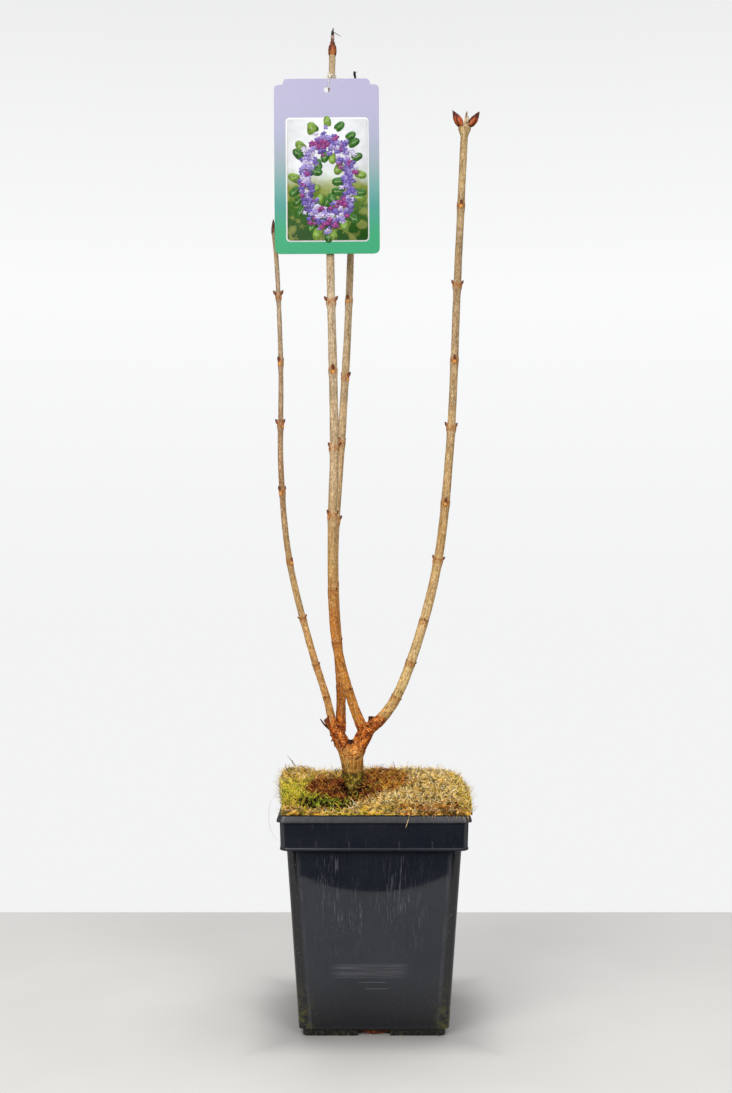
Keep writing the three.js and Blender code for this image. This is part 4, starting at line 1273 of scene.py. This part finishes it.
def moulded_ring(x, z, radius=4.2):
    """A faint raised ring from the mould on the front panel."""
    bm = bmesh.new()
    bmesh.ops.create_circle(bm, cap_ends=False, segments=8, radius=0.35)
    bmesh.ops.translate(bm, vec=(radius, 0, 0), verts=bm.verts)
    bmesh.ops.rotate(bm, cent=(radius, 0, 0), matrix=Matrix.Rotation(math.pi / 2, 3, "X"), verts=bm.verts)
    bmesh.ops.spin(
        bm, geom=bm.verts[:] + bm.edges[:], cent=(0, 0, 0), axis=(0, 0, 1), angle=2 * math.pi, steps=32,
        use_merge=True,
    )
    bmesh.ops.recalc_face_normals(bm, faces=bm.faces)
    wall = sum(PANEL_SINKS) - lerp(134, 154.5, (z - 7.2) / 160.6) / 2
    tilt = Matrix.Rotation(math.radians(90 + 3.7), 4, "X")
    bmesh.ops.transform(bm, matrix=Matrix.Translation((x, wall, z)) @ tilt, verts=bm.verts)
    return bm


def drain_roots(finish):
    """Thin rusty roots that show in the four drain notches."""
    rng = np.random.default_rng(11)
    strands = []
    for quarter in range(4):
        turn = Matrix.Rotation(quarter * math.pi / 2, 3, "Z")
        for _ in range(26):
            start = rng.uniform(-13, 6)
            reach = rng.uniform(5, 12)
            depth = rng.uniform(-60.5, -55.5)
            path = []
            for i in range(5):
                spot = Vector((
                    min(start + reach * i / 4, 13.6), depth + rng.uniform(-1.2, 1.2), rng.uniform(0.7, 3.9)
                ))
                path.append(tuple(turn @ spot))
            thick = rng.uniform(0.25, 0.6)
            strands.append({"path": path, "radii": [thick * 0.6, thick, thick * 0.5]})
    strand_group("drain_roots", strands, finish, 1.2)


# ------------------------------------------------------------------ mulch mat


def edge_reach(y):
    """How far left and right the mat's loose edge comes at this depth."""
    return (
        float(np.interp(y, [-86, -40, 0, 40, 70, 86], [-80.2, -82.6, -86.6, -89.6, -89, -83.6])),
        float(np.interp(y, [-86, -20, 40, 65, 86], [85, 87.5, 88.8, 86, 79])),
    )


def mat_top(x, y):
    """The mat's surface: higher at the back, rounded off at its edges, hollow round the trunk."""
    edge = max(abs(x + 1.5) / 86, abs(y) / 86)
    hollow = bell(x, -22, 24) * bell(y, -18, 34)
    bank = 3.2 * bell(abs(x + 19), 12, 5) * bell(y, -14, 13)
    bank += 2.0 * bell(abs(x + 20.5), 7, 4) * bell(y, -25, 6)
    dip = (1.5 * bell(x, -50, 17) + 0.6 * bell(x, 52, 12)) * smooth(60, 84, y)
    wave = 1.1 * math.sin(0.19 * x + 1.3) * math.cos(0.23 * y + 0.07 * x)
    lumps = 1.5 * ripple(x * 0.07, y * 0.07, 4) + 0.9 * ripple(x * 0.2, y * 0.2, 9)
    rise = lerp(MAT_FRONT, MAT_BACK, (y + MAT_HALF) / (2 * MAT_HALF))
    rise += 2.2 * smooth(-60, -80, x) * smooth(20, 75, y) - 1.6 * smooth(-70, -40, x) * smooth(0, -30, x)
    rise -= 5.5 * smooth(60, 92, x) * smooth(-30, 40, y)
    rise += 5 * bank - 7 * hollow - 3 * dip - 4.5 * min(edge, 1) ** 8
    return max(rise + wave + lumps, 203)


def mat_body(finish):
    """The dense felt under the loose fibres, from the rim up."""
    bm = bmesh.new()
    bmesh.ops.create_grid(bm, x_segments=84, y_segments=84, size=1)
    for vert in bm.verts:
        y = vert.co.y * (MAT_HALF - 2)
        left, right = edge_reach(y)
        x = lerp(left + 1.5, right - 1.5, (vert.co.x + 1) / 2)
        rough = ripple(x * 0.6, y * 0.6, 2) * 0.8
        vert.co = (x, y, max(mat_top(x, y) - 1.6 + rough, 201))
    ring = [e for e in bm.edges if e.is_boundary]
    for height, grow in ((202.6, 1.0), (200.4, 0.985)):
        verts, ring = next_ring(bm, ring, grow)
        for vert in verts:
            vert.co.z = min(vert.co.z, height)
    bmesh.ops.holes_fill(bm, edges=ring, sides=0)
    bmesh.ops.recalc_face_normals(bm, faces=bm.faces)
    piece = finish_piece("mulch_felt", bm, finish)
    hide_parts("mulch_mat")


def mat_zone(x, y):
    """Which zone of the mat a place lies in."""
    wander = 0.22 * ripple(x * 0.09, y * 0.05, 1) + 0.16 * ripple(x * 0.25, y * 0.14, 3)
    left_hollow = math.hypot((x + 43) / 20, (y + 8) / 44)
    front_hollow = math.hypot((x + 18) / 22, (y + 36) / 34)
    if math.hypot((x + 43) / 26, (y + 66) / 17) + wander < 1:
        return "moss patch"
    if abs(x + 18) < 9 and -42 < y < -10:
        return "trunk foot"
    if min(left_hollow, front_hollow) + wander < 1:
        return "hollows"
    if math.hypot((x - 6) / 28, (y - 22) / 58) + wander < 1:
        return "orange patch"
    if y < -76 and 24 < x < 78:
        return "front right edge"
    if y < -78:
        return "front edge"
    if x < -34 and y < 22 + 60 * wander:
        return "green side"
    if x < -20:
        return "left"
    return "right edge" if x > 74 else "right"


def fibre_kind(x, y, draw):
    """Which kind of fibre lies at a place, for a draw between 0 and 1."""
    for kind, share in FIBRE_SHARES[mat_zone(x, y)].items():
        draw -= share
        if draw < 0:
            return kind
    return "straw"


def fibre_arrays(spines, radii):
    """Vertex and face arrays of many thin three-sided fibres with pointed ends."""
    spines = np.asarray(spines, dtype=float)
    radii = np.asarray(radii, dtype=float)
    along = np.gradient(spines, axis=1)
    along /= np.linalg.norm(along, axis=2, keepdims=True) + 1e-9
    up = np.where(np.abs(along[:, :, 2:3]) > 0.9, np.array([[[1.0, 0, 0]]]), np.array([[[0, 0, 1.0]]]))
    across = np.cross(along, up)
    across /= np.linalg.norm(across, axis=2, keepdims=True) + 1e-9
    rise = np.cross(across, along)
    verts = np.zeros((len(spines), 11, 3))
    verts[:, 0], verts[:, 10] = spines[:, 0], spines[:, 4]
    for ring in range(3):
        for corner in range(3):
            turn = corner * 2 * math.pi / 3
            thick = (radii * (1.0 if ring == 1 else 0.8))[:, None]
            offset = (across[:, ring + 1] * math.cos(turn) + rise[:, ring + 1] * math.sin(turn)) * thick
            verts[:, 1 + ring * 3 + corner] = spines[:, ring + 1] + offset
    faces = []
    for corner in range(3):
        after = (corner + 1) % 3
        faces.append((0, 1 + corner, 1 + after))
        for ring in range(2):
            low, high = 1 + ring * 3, 4 + ring * 3
            faces.append((low + corner, high + corner, high + after))
            faces.append((low + corner, high + after, low + after))
        faces.append((7 + corner, 10, 7 + after))
    faces = np.asarray(faces)[None, :, :] + np.arange(len(spines))[:, None, None] * 11
    return verts.reshape(-1, 3), faces.reshape(-1, 3)


def fibre_piece(name, spines, radii, finish):
    """One joined mesh of many fibres of the same kind."""
    verts, faces = fibre_arrays(spines, radii)
    mesh = bpy.data.meshes.new("fibres")
    mesh.from_pydata(verts.tolist(), [], faces.tolist())
    bm = bmesh.new()
    bm.from_mesh(mesh)
    bpy.data.meshes.remove(mesh)
    bmesh.ops.recalc_face_normals(bm, faces=bm.faces)
    finish_piece(name, bm, finish)


def within_mat(spine, spill):
    """Keeps a fibre inside the mat's reach, with a little spill, and above the rim."""
    left, right = edge_reach(spine[2, 1])
    spine[:, 1] = np.clip(spine[:, 1], -MAT_HALF, MAT_HALF)
    spine[:, 0] = np.clip(spine[:, 0], max(left - spill, -95), right + spill)
    spine[:, 2] = np.maximum(spine[:, 2], 200.8)
    return spine


def curly_spine(rng, x, y, z, reach):
    """Five points of a curled fibre through a place."""
    heading = rng.uniform(0, 2 * math.pi)
    curl = rng.normal(0, 1.0)
    steps = np.linspace(-0.5, 0.5, 5)
    turn = heading + curl * steps * 2
    slope = rng.normal(0, 0.42) + rng.normal(0, 0.42, 5)
    step = np.stack([np.cos(turn), np.sin(turn), slope], axis=1)
    spine = np.cumsum(step * reach / 4, axis=0)
    spine -= spine[2]
    return spine + np.array([x, y, z])


def loose_fibres():
    """The mat's loose fibres on its top and sides, sorted by kind."""
    rng = np.random.default_rng(23)
    kinds = {kind: ([], []) for kind in FIBRE_COLOURS}
    for number in range(FIBRE_COUNT):
        y = rng.uniform(-85.8, 85.8)
        left, right = edge_reach(y)
        x = rng.uniform(left, right)
        side = number % 9 == 0
        if side:
            x, y = mat_side(rng)
        top = mat_top(x, y)
        z = rng.uniform(201, top) if side else top + rng.uniform(-2.2, 2.0)
        if math.hypot(x - TRUNK_PLACE[0], y - TRUNK_PLACE[1]) < 10.2:
            continue
        kind = fibre_kind(x, y, rng.random())
        reach = rng.uniform(5, 10) if kind in ("moss", "dark") else rng.uniform(7, 17)
        spine = curly_spine(rng, x, y, z, reach)
        if kind == "moss":
            spine[:, 2] += np.linspace(-1, 3.2, 5)
        kinds[kind][0].append(within_mat(spine, 0.8))
        kinds[kind][1].append(rng.uniform(*FIBRE_RADIUS))
    for kind, (spines, radii) in kinds.items():
        finish = fibre_finish("fibre_" + kind, FIBRE_COLOURS[kind])
        fibre_piece("fibres_" + kind, spines, radii, finish)


def mat_side(rng):
    """A place on the mat's outline."""
    along = rng.uniform(-86, 86)
    left, right = edge_reach(along)
    return [(along, -86), (along, 86), (left, along), (right, along)][rng.integers(4)]


def mat_fuzz():
    """Finer hairs that stand up from the mat, longest along its edges."""
    rng = np.random.default_rng(31)
    spines, radii = [], []
    for number in range(FUZZ_COUNT):
        x, y = mat_side(rng) if number % 3 else (rng.uniform(-80, 82), rng.uniform(-82, 84))
        if math.hypot(x - TRUNK_PLACE[0], y - TRUNK_PLACE[1]) < 13:
            continue
        z = mat_top(x, y) - 1
        tall = rng.uniform(3, 9) if number % 3 else rng.uniform(2, 5)
        outward = Vector((x / 88, y / 88, 0)) * rng.uniform(0, 0.9)
        heading = rng.uniform(0, 2 * math.pi)
        lean = np.array([outward.x + 0.5 * math.cos(heading), outward.y + 0.5 * math.sin(heading), 1.0])
        bend = rng.normal(0, 0.35, 3)
        parts = np.linspace(0, 1, 5)[:, None]
        spine = np.array([x, y, z]) + lean * tall * parts * 0.7 + bend * tall * parts ** 2
        spines.append(within_mat(spine, 8))
        radii.append(rng.uniform(0.07, 0.13))
    fibre_piece("mat_fuzz", spines, radii, fibre_finish("fuzz", (0.62, 0.52, 0.33)))


def straying_strands():
    """Strands that hang over the rim, the long hair at the left and the sprig at the back."""
    rng = np.random.default_rng(41)
    over_rim = [HANGING_STRAW]
    for _ in range(13):
        x = rng.uniform(22, 82)
        drop = rng.uniform(194, 199.8)
        drift = rng.uniform(-7, 7)
        over_rim.append({
            "path": [
                (x, -83, 203), (x + drift * 0.4, -85, 202),
                (x + drift * 0.8, -86.2, lerp(201, drop, 0.3)), (x + drift, -86.5, drop),
            ],
            "radii": [0.24, 0.24, 0.18, 0.08],
        })
    straw_finish = fibre_finish("strand_straw", (0.58, 0.40, 0.19))
    strand_group("strands_over_rim", over_rim, straw_finish, 1.0)
    hairs = [LONG_HAIR]
    for _ in range(9):
        y = rng.uniform(-60, 60)
        reach = rng.uniform(-94.6, -91)
        hairs.append({
            "path": [
                (-80, y, mat_top(-80, y)), (-88, y + 2, rng.uniform(206, 212)),
                (reach, y + 4, rng.uniform(203, 214)),
            ],
            "radii": [0.12, 0.1, 0.05],
        })
    strand_group("stray_hairs", hairs, fibre_finish("hair", (0.42, 0.40, 0.36)), 1.0)
    sprig_finish = fibre_finish("sprig", (0.09, 0.085, 0.035))
    strand_group("moss_sprigs", MOSS_SPRIGS, sprig_finish, 0.8)


# ------------------------------------------------------------------ card and thread


def card_place(u, w, proud=0.0):
    """A place on the card's front, u across and w up from its hole."""
    tilt = math.radians(CARD["tilt"])
    x, z = CARD["hole"]
    return Vector((
        x + u * math.cos(tilt) - w * math.sin(tilt), CARD["front"] - proud,
        z + u * math.sin(tilt) + w * math.cos(tilt),
    ))


def lay_on_card(bm, u, w, low, high):
    """Gives a flat shape its thickness and lays it on the card's front."""
    face = list(bm.faces)
    grown = bmesh.ops.extrude_face_region(bm, geom=face)["geom"]
    top = {item for item in grown if isinstance(item, bmesh.types.BMVert)}
    for vert in bm.verts:
        vert.co = card_place(u + vert.co.x, w + vert.co.y, high if vert in top else low)
    bmesh.ops.recalc_face_normals(bm, faces=bm.faces)
    return bm


def lobed(radius, lobes, depth, turn, segments, squash=1.0):
    """A flat flower or leaf shape with rounded lobes."""
    bm = bmesh.new()
    bmesh.ops.create_circle(bm, cap_ends=True, segments=segments, radius=1)
    for vert in bm.verts:
        angle = math.atan2(vert.co.y, vert.co.x)
        reach = radius * (1 - depth + depth * abs(math.cos(lobes * angle / 2)) ** 0.8)
        vert.co = (math.cos(angle + turn) * reach, math.sin(angle + turn) * reach * squash, 0)
    return bm


def leaf_shape(length, turn):
    """A flat heart-shaped leaf."""
    bm = bmesh.new()
    bmesh.ops.create_circle(bm, cap_ends=True, segments=18, radius=1)
    for vert in bm.verts:
        angle = math.atan2(vert.co.y, vert.co.x)
        reach = 0.52 + 0.48 * max(math.cos(angle), 0) ** 3 - 0.22 * bell(abs(angle), math.pi, 0.35)
        spot = Vector((math.cos(angle) * reach + 0.1, math.sin(angle) * reach * 0.95, 0))
        vert.co = Matrix.Rotation(turn, 3, "Z") @ spot * length * 0.66
    return bm


def card_art():
    """The card's picture: a white-edged window with a wreath of small four-petalled blossom."""
    u, w = PICTURE["middle"]
    width, height = PICTURE["size"]
    edge = PICTURE["edge"]
    frame_plate = lay_on_card(rounded_plate(width, height, 3.8), u, w, 0.0, 0.05)
    white = print_finish("card_white", (0.93, 0.93, 0.92), 0.03)
    finish_piece("card_window_edge", frame_plate, white)
    ground = rounded_plate(width - 2 * edge, height - 2 * edge, 3)
    finish_piece("card_picture", lay_on_card(ground, u, w, 0.03, 0.08), picture_finish())
    card_leaves(u, w)
    card_florets(u, w)


def card_leaves(u, w):
    """The wreath's heart-shaped leaves, dark and light, that stand out on both sides of it."""
    rng = np.random.default_rng(3)
    across, tall = PICTURE["wreath"]
    leaves = {"deep": bmesh.new(), "light": bmesh.new()}
    ribs = bmesh.new()
    for number in range(LEAF_COUNT):
        angle = number * 2 * math.pi / LEAF_COUNT + rng.uniform(-0.1, 0.1)
        outside = number % 3 != 0
        ring = rng.uniform(1.22, 1.34) if outside else rng.uniform(0.58, 0.66)
        spot_u, spot_w = u + across * ring * math.cos(angle), w + tall * ring * math.sin(angle)
        length = rng.uniform(10, 13.5)
        turn = (angle if outside else angle + math.pi) + rng.uniform(-0.6, 0.6)
        low = LEAF_LEVEL + LEAF_TIER * number
        kind = "light" if number % 5 in (1, 3) else "deep"
        join_into(leaves[kind], lay_on_card(leaf_shape(length, turn), spot_u, spot_w, low, low + 0.05))
        rib = rounded_plate(length * 0.8, 0.4, 0.12, 2)
        bmesh.ops.translate(rib, vec=(length * 0.16, 0, 0), verts=rib.verts)
        bmesh.ops.rotate(rib, cent=(0, 0, 0), matrix=Matrix.Rotation(turn, 3, "Z"), verts=rib.verts)
        join_into(ribs, lay_on_card(rib, spot_u, spot_w, low, low + 0.052))
    for kind, shape in leaves.items():
        ink = print_finish("leaf_" + kind, LEAF_COLOURS[kind], 0.5, 260)
        finish_piece("card_leaves_" + kind, shape, ink)
    finish_piece("card_leaf_ribs", ribs, print_finish("leaf_rib", (0.28, 0.40, 0.10)))


def card_florets(u, w):
    """The wreath's small four-petalled florets, in clusters of one colour over darker ones."""
    rng = np.random.default_rng(8)
    across, tall = PICTURE["wreath"]
    florets = {kind: bmesh.new() for kind in FLORET_COLOURS}
    hearts = bmesh.new()
    for number in range(FLORET_COUNT):
        angle = number * GOLDEN_TURN
        under = number < FLORET_COUNT / 4
        spread = rng.uniform(0.68, 1.2) if under else min(max(rng.normal(0.95, 0.15), 0.62), 1.26)
        spot_u = u + across * spread * math.cos(angle)
        spot_w = w + tall * spread * math.sin(angle)
        cluster = ripple(spot_u * 0.11, spot_w * 0.11, 5) + rng.uniform(-0.25, 0.25)
        if under:
            kind = "shade" if number % 2 else "violet"
        elif cluster > 0.26:
            kind = "plum"
        elif cluster > 0.06:
            kind = "violet"
        else:
            kind = "lilac" if cluster > -0.16 else "blush"
        low = FLORET_LEVEL + FLORET_TIER * number
        turn = rng.uniform(0, math.pi)
        flower = lobed(rng.uniform(2.1, 3.3), 4, 0.5, turn, 16, rng.uniform(0.7, 1))
        join_into(florets[kind], lay_on_card(flower, spot_u, spot_w, low, low + 0.04))
        if not under:
            heart = lobed(0.42, 4, 0.2, turn, 8)
            join_into(hearts, lay_on_card(heart, spot_u, spot_w, low, low + 0.06))
    for kind, shape in florets.items():
        ink = print_finish("floret_" + kind, FLORET_COLOURS[kind], 0.35, 500)
        finish_piece("card_florets_" + kind, shape, ink)
    heart_ink = print_finish("floret_heart", (0.30, 0.20, 0.22))
    finish_piece("card_floret_hearts", hearts, heart_ink)


def twisted(route, offset, pitch, phase, step=0.25):
    """One ply's path, winding round a route."""
    points = [Vector(p) for p in route]
    fine = 60 * (len(points) - 1)
    places = [curve_point(points, i / fine) for i in range(fine + 1)]
    side = Vector((1, 0.2, 0.1))
    run = 0.0
    last = places[0]
    path = []
    kept = -1.0
    for here, ahead in zip(places, places[1:]):
        along = (ahead - here).normalized()
        side = (side - along * side.dot(along)).normalized()
        run += (here - last).length
        last = here
        if run - kept < step:
            continue
        kept = run
        turn = phase + run / pitch * 2 * math.pi
        path.append(here + (side * math.cos(turn) + along.cross(side) * math.sin(turn)) * offset)
    return path


def thread_route():
    """The thread's way from its knot over the card's edge, through the hole and back."""
    stops = stations(CANES["centre_cane"]["path"], RING_STEP)
    level = min(stops, key=lambda stop: abs(stop.place.z - THREAD["height"])).place
    loop = cane_radius(CANES["centre_cane"], THREAD["height"]) + 0.75
    knot = level + Vector((-0.35, -0.94, 0)) * (loop + 0.5)
    hole_x, hole_z = CARD["hole"]
    front, back = CARD["front"] - 0.65, CARD["back"] + 0.65
    route = [
        knot, (knot.x - 0.6, front, knot.z - 2.6), (knot.x - 1, front, hole_z + 8.6),
        (hole_x + 1.5, front, hole_z + 4), (hole_x + 1, front + 0.3, hole_z + 1.5),
        (hole_x + 0.8, (front + back) / 2, hole_z + 1.1), (hole_x + 0.5, back, hole_z + 1.8),
        (hole_x - 0.4, back + 0.3, hole_z + 6), (hole_x - 0.2, back + 0.3, hole_z + 13), knot,
    ]
    return level, loop, knot, route


def card_thread(finish):
    """A two-ply cotton thread, wound round the cane and tied, that carries the card."""
    level, loop, knot, route = thread_route()
    whole = bmesh.new()
    plies = []
    for ply in (0, math.pi):
        plies.append(twisted(route, THREAD["ply_offset"], THREAD["pitch"], ply))
        winding = []
        for i in range(64):
            turn = -math.pi * 0.6 + i / 63 * 2 * math.pi * 3
            height = lerp(-2.0, 2.2, i / 63)
            winding.append(level + Vector((math.cos(turn) * loop, math.sin(turn) * loop, height)))
        plies.append(twisted(winding, THREAD["ply_offset"], THREAD["pitch"], ply))
        knotted = []
        for i in range(40):
            t = i / 39 * 2 * math.pi
            knotted.append(knot + Vector((
                1.0 * (math.sin(t) + 1.2 * math.sin(2 * t)), -0.5 - 0.45 * math.sin(3 * t),
                1.0 * (math.cos(t) - 1.2 * math.cos(2 * t)),
            )))
        plies.append(twisted(knotted, THREAD["ply_offset"], THREAD["pitch"], ply))
    for path in plies:
        join_into(whole, strand(path, [THREAD["ply_radius"]] * 2, 0.35, 2))
    rng = np.random.default_rng(17)
    for _ in range(14):
        reach = rng.uniform(2.0, 4.5)
        aim = Vector((rng.uniform(-0.4, 0.9), rng.uniform(-0.5, 0.1), rng.uniform(-0.6, 1.0))).normalized()
        bend = Vector(rng.uniform(-0.35, 0.35, 3))
        path = [knot + aim * reach * part + bend * reach * part * part for part in (0, 0.33, 0.66, 1)]
        join_into(whole, strand(path, [0.2, 0.17, 0.12, 0.05], 0.6))
    piece = finish_piece("tied_thread", whole, finish)
    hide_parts("label_thread")


# ------------------------------------------------------------------ camera and stage


def make_camera():
    """A level camera in front of the plant."""
    data = bpy.data.cameras.new("camera")
    data.lens = 48.15
    data.sensor_width = 36
    data.shift_y = -0.0117
    camera = place_object("camera", data)
    camera.location = (-0.0072, -1.365, 0.4469)
    camera.rotation_euler = (math.radians(90), 0, 0)
    bpy.context.scene.camera = camera


def soft_light(name, place, aim, size, power, tint=(1, 1, 1)):
    """A wide light that the camera doesn't see, aimed at a place."""
    data = bpy.data.lights.new(name, "AREA")
    data.shape = "RECTANGLE"
    data.size, data.size_y = size
    data.energy = power
    data.color = tint
    light = place_object(name, data)
    light.visible_camera = False
    light.location = place
    light.rotation_euler = (Vector(aim) - Vector(place)).to_track_quat("-Z", "Y").to_euler()


def make_stage():
    """A pale table top that ends just behind the pot, darkened round the pot's foot by a painted shadow,
    under a pale surround.
    """
    bm = bmesh.new()
    bmesh.ops.create_grid(bm, x_segments=1, y_segments=1, size=1)
    for vert in bm.verts:
        vert.co = (vert.co.x * 1.4, 0.361 if vert.co.y > 0 else -0.47, 0)
    mesh = bpy.data.meshes.new("table_top")
    bm.to_mesh(mesh)
    bm.free()
    f = Finish("table_top", 0.5, 0.3)
    shade = f.ramp(f.noise(f.place, 5, 3), [(0.35, (0.585, 0.57, 0.55)), (0.65, (0.615, 0.60, 0.58))])
    x, y, _ = f.axes(f.place)
    from_middle = f.calc("MAXIMUM", f.calc("ABSOLUTE", x), f.calc("ABSOLUTE", y))
    # Painted shadow: the table top darkened close round the pot's foot.
    close = f.span(f.calc("SUBTRACT", from_middle, POT_OUTSIDE[0][0] / 2 * MM), 0.0, 0.06, 0.66, 1.04)
    mesh.materials.append(f.done(f.mix(1.0, shade, close, "MULTIPLY")))
    table = place_object("table_top", mesh)

    world = bpy.data.worlds.new("surround")
    bpy.context.scene.world = world
    world.use_nodes = True
    nodes, links = world.node_tree.nodes, world.node_tree.links
    seen = nodes["Background"]
    direction = nodes.new("ShaderNodeTexCoord")
    split = nodes.new("ShaderNodeSeparateXYZ")
    links.new(direction.outputs["Generated"], split.inputs["Vector"])
    level = nodes.new("ShaderNodeMapRange")
    links.new(split.outputs["Z"], level.inputs["Value"])
    level.inputs["From Min"].default_value = -0.3
    level.inputs["From Max"].default_value = 0.4
    ramp = nodes.new("ShaderNodeValToRGB")
    links.new(level.outputs["Result"], ramp.inputs["Fac"])
    # Painted light on the backdrop the camera sees: brightest a little above the horizon, a little darker
    # below, darker towards the top.
    stops = [(0.05, 0.90), (0.35, 0.90), (0.48, 0.92), (0.66, 0.965), (0.8, 0.91), (0.93, 0.85)]
    while len(ramp.color_ramp.elements) < len(stops):
        ramp.color_ramp.elements.new(0.5)
    for element, (position, grey) in zip(ramp.color_ramp.elements, stops):
        element.position = position
        element.color = (grey * 0.995, grey * 0.998, grey * 1.005, 1)
    links.new(ramp.outputs["Color"], seen.inputs["Color"])
    seen.inputs["Strength"].default_value = 1.0
    lit = nodes.new("ShaderNodeBackground")
    room = nodes.new("ShaderNodeValToRGB")
    links.new(split.outputs["Z"], room.inputs["Fac"])
    for element, position, grey in zip(room.color_ramp.elements, (0.0, 0.06), (0.03, 0.95)):
        element.position = position
        element.color = (grey * 0.97, grey * 0.98, grey, 1)
    links.new(room.outputs["Color"], lit.inputs["Color"])
    lit.inputs["Strength"].default_value = 0.42
    choose = nodes.new("ShaderNodeMixShader")
    rays = nodes.new("ShaderNodeLightPath")
    links.new(rays.outputs["Is Camera Ray"], choose.inputs["Fac"])
    links.new(lit.outputs["Background"], choose.inputs[1])
    links.new(seen.outputs["Background"], choose.inputs[2])
    links.new(choose.outputs["Shader"], nodes["World Output"].inputs["Surface"])

    soft_light("key", (-0.9, -1.45, 1.1), (0, 0, 0.4), (1.2, 1.2), 25, (1, 0.985, 0.96))
    soft_light("fill", (0.8, -1.6, 1.0), (0, 0, 0.35), (0.9, 0.9), 16, (0.98, 0.99, 1))
    soft_light("overhead", (0.1, 0.45, 2.2), (0, 0, 0), (2.2, 1.6), 28)
    bpy.context.scene.view_settings.view_transform = "Standard"


# ------------------------------------------------------------------ putting it together

make_camera()
make_stage()

bud_brown = bud_finish("bud_brown", (0.40, 0.17, 0.05), (0.30, 0.08, 0.02), (0.04, 0.012, 0.006))
for cane_name, colours in CANE_COLOURS.items():
    stops, nodes = cane_bark(cane_name, cane_finish(cane_name + "_skin", colours))
    side_buds(cane_name, stops, nodes, bud_brown)
old_wood(old_bark_finish())

bud_group("right_tip_buds", RED_TIP_BUDS, bud_finish(
    "bud_red", (0.36, 0.10, 0.02), (0.44, 0.06, 0.012), (0.06, 0.012, 0.006)))
bud_group("right_tip_bract", [DARK_BRACT], bud_finish(
    "bud_dark", (0.05, 0.010, 0.006), (0.016, 0.006, 0.004), (0.008, 0.006, 0.005)), 2, 1)
bud_group("centre_tip_bud", BROWN_TIP_BUDS, bud_finish(
    "bud_tan", (0.50, 0.15, 0.02), (0.26, 0.045, 0.012), (0.36, 0.16, 0.10)))
bud_group("centre_tip_bracts", SIDE_BRACTS, bud_brown, 2, 1)
bud_group("left_tip_bud", [SLIM_TIP_BUD], bud_finish(
    "bud_dark_red", (0.30, 0.11, 0.045), (0.20, 0.045, 0.022), (0.07, 0.018, 0.012)), 3)
bud_group("back_tip_bud", [BACK_TIP_BUD], bud_brown, 3)

dry = fibre_finish("dry_wood", (0.42, 0.30, 0.17))
dark_dry = fibre_finish("dark_dry_wood", (0.022, 0.018, 0.015))
grey_dry = fibre_finish("grey_dry_wood", (0.16, 0.15, 0.14))
strand_group("right_dry_end", DRY_ENDS, dry)
strand_group("dark_dry_ends", DARK_ENDS, dark_dry)
strand_group("grey_dry_end", GREY_ENDS, grey_dry, 0.2)
strand_group("dead_shoot", [DEAD_SHOOT], fibre_finish("dead_shoot", (0.36, 0.24, 0.20)))
tip_hairs = [{"path": path, "radii": [0.34, 0.32, 0.2]} for path in TIP_HAIRS]
strand_group("tip_hairs", tip_hairs, dark_dry)
strand_group("left_twig", [LEFT_TWIG], fibre_finish("broken_twig", (0.10, 0.035, 0.015)))
cut_ends(fibre_finish("cut_end", (0.045, 0.016, 0.011)))
bark_flakes(fibre_finish("bark_flake", (0.20, 0.07, 0.022)))

pot_shell(pot_finish())
drain_roots(fibre_finish("root_rust", (0.13, 0.032, 0.010)))
mat_body(mat_finish())
loose_fibres()
mat_fuzz()
straying_strands()
card_art()
card_thread(thread_finish())
for node, make in (("soil", compost_finish), ("label_card", card_finish)):
    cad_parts[node].material_slots[0].material = make()
